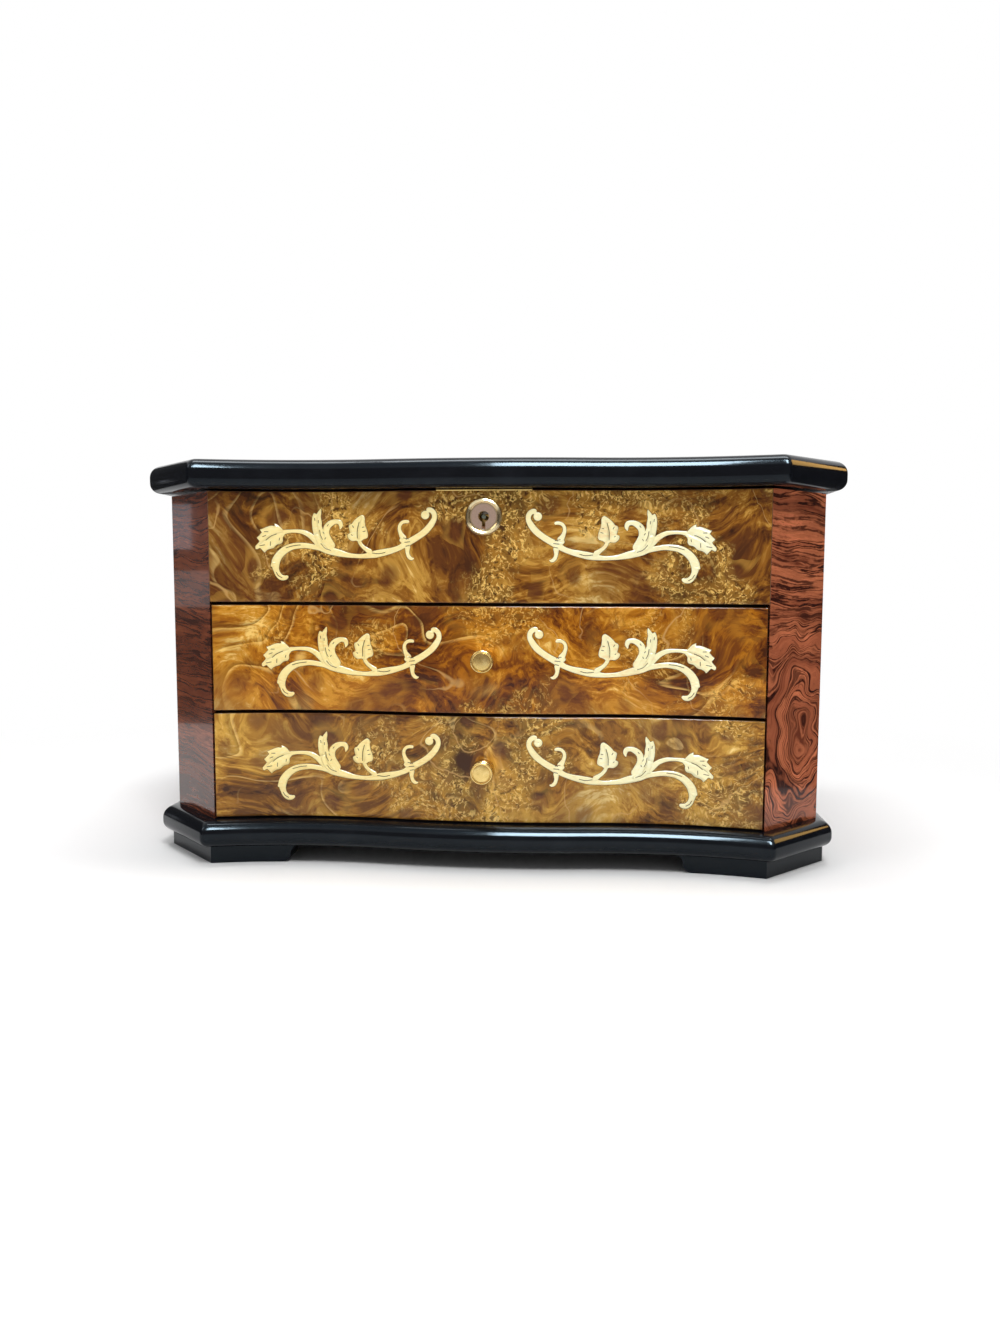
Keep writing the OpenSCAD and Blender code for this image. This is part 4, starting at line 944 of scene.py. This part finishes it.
padRings = dict(side=9, top=(0.93, 0.8, 0.6, 0.35, 0.12), narrow=0.005)
floorPad = dict(gap=0.35, low=120.35, sink=0.1, crown=0.05, pull=0.8, fill=0.8)
drawerPad = dict(half=113.9, front=16.9, back=157.6, levels=dict(upper=75.15, lower=23.65), thick=2.3,
                 crown=0.9, pull=0.9, fill=0.8)


def pad(name, outline, z0, z1, p, node, body):
    # pad: sides bulge and pull in, then rings drawn in towards the middle rise to a crown
    centre = outline.mean(axis=0)
    way = outline - centre
    reach = np.linalg.norm(way, axis=1)[:, None]
    rings = []
    for w in np.linspace(0, math.pi, padRings["side"]):
        ring = centre + way * (1 - p["pull"] * (1 - np.sin(w)) / reach)
        rings.append(place(*ring.T, z0 + (z1 - z0) * (1 - np.cos(w)) / 2))
    for share in padRings["top"]:
        ring = centre + way * share * (1 - p["pull"] * padRings["narrow"])
        rings.append(place(*ring.T, z1 + p["crown"] * (1 - share ** 4)))
    softPiece(name, np.concatenate(rings), tubeFaces(len(rings), len(outline)), node, body)


def drawerOutline(p):
    h, y0, y1 = p["half"], p["front"], p["back"]
    return evenly([(h, y0), (h, y1), (-h, y1), (-h, y0)])


padHigh = chest["padTop"] - floorPad["sink"]
pad("floorPad", evenly(interior(floorPad["gap"])), floorPad["low"], padHigh, floorPad, "floor_pad", "carcass")
for drawer, z in drawerPad["levels"].items():
    outline, high = drawerOutline(drawerPad), z + drawerPad["thick"]
    pad(drawer + "Pad", outline, z, high, drawerPad, drawer + "_drawer_pad", drawer + "_drawer")

lining = dict(thick=1.2, drop=3.0, gap=0.05, slack=0.1, steps=180, roll=9, fill=0.5)
dividers = dict(x=44.0, crossY=98.5, shortX=49.25, thick=4.0, height=22.0, wallGap=1.6, joint=0.1, slack=0.1,
                waist=(0.93, 0.97), waistAt=0.4, lift=0.02, sink=0.05, endShare=0.80, taper=0.03, droop=0.015,
                roll=13, steps=40, fill=0.8)
rolls = dict(count=8, thick=18.0, pitch=18.6, gap=0.5, backGap=0.3, slack=0.1, sink=1.4, lift=0.02,
             endShare=0.72, taper=3.0, uneven=0.006, waves=19, offbeat=1.7, around=40, steps=34, fill=0.9)


def ringRolls(p):
    # rolls: round foam with flattened undersides, drawn in at both ends, side by side
    verts, faces = [], []
    half, inset = p["thick"] / 2, lining["thick"] + p["gap"]
    line = chest["cornerX"] - chest["postReach"] - inset * math.sqrt(2)
    yBack = chest["innerY"] - lining["thick"] - p["backGap"] - half
    x1 = -dividers["x"] - dividers["thick"] - p["gap"]
    u = np.linspace(0, 1, p["steps"])[:, None]
    a = circle(p["around"])
    for k in range(p["count"]):
        y = yBack - k * p["pitch"]
        x0 = -min(chest["innerX"] - inset, line + y - half)
        x = x0 + (x1 - x0) * (1 - np.cos(math.pi * u)) / 2
        ends = rounded(np.minimum(x - x0, x1 - x) / p["taper"])
        r = half * (p["endShare"] + (1 - p["endShare"]) * ends) - p["slack"]
        r = r * (1 + p["uneven"] * np.sin(u * p["waves"] + k * p["offbeat"]))
        z = chest["padTop"] + np.maximum(half - p["sink"] + r * np.sin(a), p["lift"])
        verts.append(place(x, y + r * np.cos(a), z).reshape(-1, 3))
        faces += tubeFaces(p["steps"], p["around"], start=k * p["steps"] * p["around"])
    softPiece("ringRolls", np.concatenate(verts), faces, "ring_rolls", "carcass")


def divider(kind, start, end, p):
    # divider: a slab with a rounded top carried from start to end, padded a little fuller in the middle
    way = np.subtract(end, start)
    normal = np.array([-way[1], way[0]]) / np.linalg.norm(way)
    h, r = p["height"], p["thick"] / 2 - p["slack"]
    a = np.linspace(0, math.pi, p["roll"])
    waist = r * np.array(p["waist"])
    low = [p["lift"], h * p["waistAt"]]
    side = np.concatenate([waist, r * np.cos(a), -waist[::-1]])
    up = np.concatenate([low, h - r + r * np.sin(a) - p["sink"], low[::-1]])
    u = np.linspace(0, 1, p["steps"])[:, None]
    full = p["endShare"] + (1 - p["endShare"]) * rounded(np.minimum(u, 1 - u) / p["taper"])
    x, y = [start[k] + way[k] * u + normal[k] * side * full for k in (0, 1)]
    points = place(x, y, chest["padTop"] + up * (1 - p["droop"] + p["droop"] * full))
    faces = tubeFaces(p["steps"], len(side))
    softPiece("divider" + kind, points, faces, "divider_" + kind.lower(), "carcass")


def threeDividers(p):
    half, gap = p["thick"] / 2, p["joint"]
    front, back = chest["frontBack"] + p["wallGap"], chest["innerY"] - p["wallGap"]
    longX, crossY, shortX = -p["x"] - half, p["crossY"] + half, p["shortX"] + half
    divider("Long", (longX, front), (longX, back), p)
    divider("Cross", (gap - p["x"], crossY), (chest["innerX"] - p["wallGap"], crossY), p)
    divider("Short", (shortX, p["crossY"] + p["thick"] + gap), (shortX, back), p)


def wallLining(p):
    # lining: padded cloth up the walls, its top edge rolled over
    low, high, t = chest["padTop"], chest["bodyTop"] - p["drop"], p["thick"] - p["slack"]
    a = np.linspace(0, math.pi, p["roll"])
    inset = np.concatenate([[0.0], t / 2 - t / 2 * np.cos(a), [t]])
    height = np.concatenate([[low], high - t / 2 + t / 2 * np.sin(a), [low]])
    # the same shares of the way round on every ring, its corners among them
    clear = np.asarray(interior(0.0))
    lengths = np.linalg.norm(np.roll(clear, -1, axis=0) - clear, axis=1)
    walk = np.concatenate([[0], np.cumsum(lengths)]) / lengths.sum()
    share = np.unique(np.concatenate([np.linspace(0, 1, p["steps"], endpoint=False), walk[:-1]]))
    rings = []
    for d, z in zip(inset, height):
        loop = np.asarray(interior(p["gap"] + d))
        x, y = np.concatenate([loop, loop[:1]]).T
        rings.append(place(np.interp(share, walk, x), np.interp(share, walk, y), z))
    faces = gridFaces(len(rings), len(share), wrapRows=True, wrapCols=True)
    softPiece("wallLining", np.concatenate(rings), faces, "wall_lining", "carcass", sharp=50)


paddedFrame = dict(inside=(107.0, 52.0), outside=(125.8, 70.8), mid=97.0, gap=0.15, deep=3.9, rise=0.5,
                   bulge=2.2, fullness=0.8, section=15, steps=36, fill=0.8)


def mirrorFrame(p):
    # padded frame: a low round section carried round the mirror, mitred at its corners
    w = np.linspace(0, 1, p["section"])
    bulge = p["bulge"] * np.sqrt(np.maximum(1 - (2 * w - 1) ** 2, 0)) ** p["fullness"]
    share = np.concatenate([[0.0], w, [1.0]])
    height = chest["lidZ"] + np.concatenate([[p["deep"]], p["rise"] - bulge, [p["deep"]]])
    inner, outer = np.add(p["inside"], p["gap"]), np.subtract(p["outside"], p["gap"])
    t = np.linspace(0, 1, p["steps"], endpoint=False)[:, None]
    rings = []
    for k, z in zip(share, height):
        corners = (inner + (outer - inner) * k) * [(1, -1), (1, 1), (-1, 1), (-1, -1)]
        loop = np.concatenate([a + (b - a) * t for a, b in zip(corners, np.roll(corners, -1, axis=0))])
        rings.append(place(loop[:, 0], loop[:, 1] + p["mid"], z))
    faces = gridFaces(len(rings), len(rings[0]), wrapRows=True, wrapCols=True)
    softPiece("mirrorPaddedFrame", np.concatenate(rings), faces, "mirror_frame", "lid", sharp=50)


ringRolls(rolls)
threeDividers(dividers)
wallLining(lining)
mirrorFrame(paddedFrame)
print("soft pieces done")


# stage: pale floor, soft lamps, camera at the photographed place
lens = dict(at=(0.04408, -0.51483, 0.12918), yaw=-0.0859, pitch=0.0897, roll=0.0029, focal=976.36, height=1333.0,
            sensor=36.0, nearest=0.01)


def aim(obj, right, up, back, at):
    # turns and places a camera or a lamp
    obj.matrix_world = Matrix(np.column_stack([right, up, back, at]).tolist() + [[0, 0, 0, 1]])
    scene.collection.objects.link(obj)


def camera(p):
    yaw, pitch, roll = p["yaw"], p["pitch"], p["roll"]
    ahead = np.array([math.sin(yaw) * math.cos(pitch), math.cos(yaw) * math.cos(pitch), -math.sin(pitch)])
    right = np.array([math.cos(yaw), -math.sin(yaw), 0.0])
    up = np.cross(right, ahead)
    right, up = math.cos(roll) * right + math.sin(roll) * up, -math.sin(roll) * right + math.cos(roll) * up
    data = bpy.data.cameras.new("camera")
    data.sensor_fit = "VERTICAL"
    data.sensor_height = p["sensor"]
    data.lens = p["focal"] / p["height"] * p["sensor"]
    data.clip_start = p["nearest"]
    obj = bpy.data.objects.new("camera", data)
    aim(obj, right, up, -ahead, p["at"])
    scene.camera = obj


# lamps: place, what they are turned to, width and height, power
lamps = dict(
    overheadSoftbox=((0.05, 0.04, 1.45), (0, -0.05, 0.1), (1.0, 0.40), 13.0),
    leftWindow=((-1.05, -0.65, 1.15), (0, 0, 0.1), (0.5, 0.7), 4.0),
    frontFill=((0.30, -0.95, 1.40), (0, 0, 0.1), (0.42, 0.40), 13.0),
)


def lamp(name, at, target, size, power):
    data = bpy.data.lights.new(name, "AREA")
    data.shape = "RECTANGLE"
    data.size, data.size_y = size
    data.energy = power
    back = np.subtract(at, target) / np.linalg.norm(np.subtract(at, target))
    # a lamp that looks nearly straight down lies along x
    side = np.cross((0, 0, 1), back) if abs(back[2]) < 0.99 else np.array([1.0, 0, 0])
    side /= np.linalg.norm(side)
    aim(bpy.data.objects.new(name, data), side, np.cross(back, side), back, at)


def sheet(name, corners, material, mirroredOnly=False):
    # one flat face of the stage; a studio card is seen by reflections only
    mesh = bpy.data.meshes.new(name)
    mesh.from_pydata(corners, [], [(0, 1, 2, 3)])
    mesh.materials.append(material)
    obj = bpy.data.objects.new(name, mesh)
    scene.collection.objects.link(obj)
    if mirroredOnly:
        obj.visible_camera = obj.visible_diffuse = obj.visible_shadow = obj.visible_transmission = False


white, rosy = (1, 1, 1), (1.0, 0.85, 0.78)
# cards: first corner, its two edges, level and colour of the light
cards = dict(
    darkCardBehind=((-3, -2.4, 0), (6, 0, 0), (0, 0, 1.5), 0.32, rosy),
    darkCardLeft=((-2.0, -2.4, 0), (0, 5.0, 0), (0, 0, 1.5), 0.07, white),
    darkCardRight=((2.0, -2.4, 0), (0, 5.0, 0), (0, 0, 1.5), 0.05, white),
    tableEndFront=((-3, -2.4, 0.002), (6, 0, 0), (0, 1.5, 0), 0.32, rosy),
    tableEndLeft=((-2.0, -0.9, 0.002), (1.48, 0, 0), (0, 3.5, 0), 0.07, white),
    tableEndRight=((0.30, -0.9, 0.002), (1.70, 0, 0), (0, 3.5, 0), 0.06, white),
    windowPaneLeft=((-1.14, 0.335, 0.172), (0, 0.040, 0), (0, 0, 0.068), 1.25, (0.86, 0.90, 1.0)),
    windowSillLeft=((-1.14, 0.290, 0.085), (0, 0.090, 0), (0, 0, 0.055), 0.7, (0.95, 0.97, 1.0)),
    ceilingCard=((-1.6, -1.3, 1.6), (3.2, 0, 0), (0, 0.8, 0.3), 0.9, (0.80, 0.92, 1.0)),
    windowRight=((-0.10, -1.35, 1.02), (0.50, 0, 0), (0, 0.60, 0.53), 70.0, (0.84, 0.94, 1.0)),
    warmLampRight=((1.4, -0.10, 0.55), (0, 0.70, 0), (0, 0, 0.75), 9.0, (1.0, 0.55, 0.16)),
)


def card(name, corner, along, up, level, colour):
    light = Finish(name)
    corners = np.add(corner, [(0, 0, 0), along, np.add(along, up), up])
    glow = light.node("ShaderNodeEmission", None, {0: colour, 1: level})
    sheet(name, corners.tolist(), light.show(glow), mirroredOnly=True)


ground = dict(pale=(0.88, 0.88, 0.88), grey=(0.85, 0.85, 0.85), nearTo=0.22, whiteFrom=0.50,
              reach=14.0, z=-0.0002, sky=0.30)


def floorAndSky(p):
    # floor: pale and matt near the chest, where it keeps the shadow; further out the camera sees plain white
    floor = Finish("paleFloor", Roughness=0.9, Specular_IOR_Level=0.1)
    at = floor.coords()
    floor.use(Base_Color=floor.mix(floor.noise(at, 3, 2, 0.5) * 0.2, p["pale"], p["grey"]))
    far = floor.smooth(floor.vector("LENGTH", at, out=1), p["nearTo"], p["whiteFrom"])
    bright = floor.node("ShaderNodeEmission", None, {0: white, 1: 1.0})
    matt = Wire(floor, floor.shader.outputs[0])
    floor.show(floor.node("ShaderNodeMixShader", None, {0: floor.seen() * far, 1: matt, 2: bright}))
    r, z = p["reach"], p["z"]
    sheet("floor", [(-r, -r, z), (r, -r, z), (r, r, z), (-r, r, z)], floor.owner)
    # sky: a dim light on things, plain white where it is seen
    sky = Finish("studio", owner=bpy.data.worlds.new("studio"))
    sky.tree.nodes.remove(sky.tree.nodes["Background"])
    dim, bright = [sky.node("ShaderNodeBackground", None, {0: white, 1: level}) for level in (p["sky"], 1.0)]
    scene.world = sky.show(sky.node("ShaderNodeMixShader", None, {0: sky.seen(), 1: dim, 2: bright}))


camera(lens)
floorAndSky(ground)
for name, look in cards.items():
    card(name, *look)
for name, look in lamps.items():
    lamp(name, *look)
scene.view_settings.view_transform = "Standard"
print("stage done")
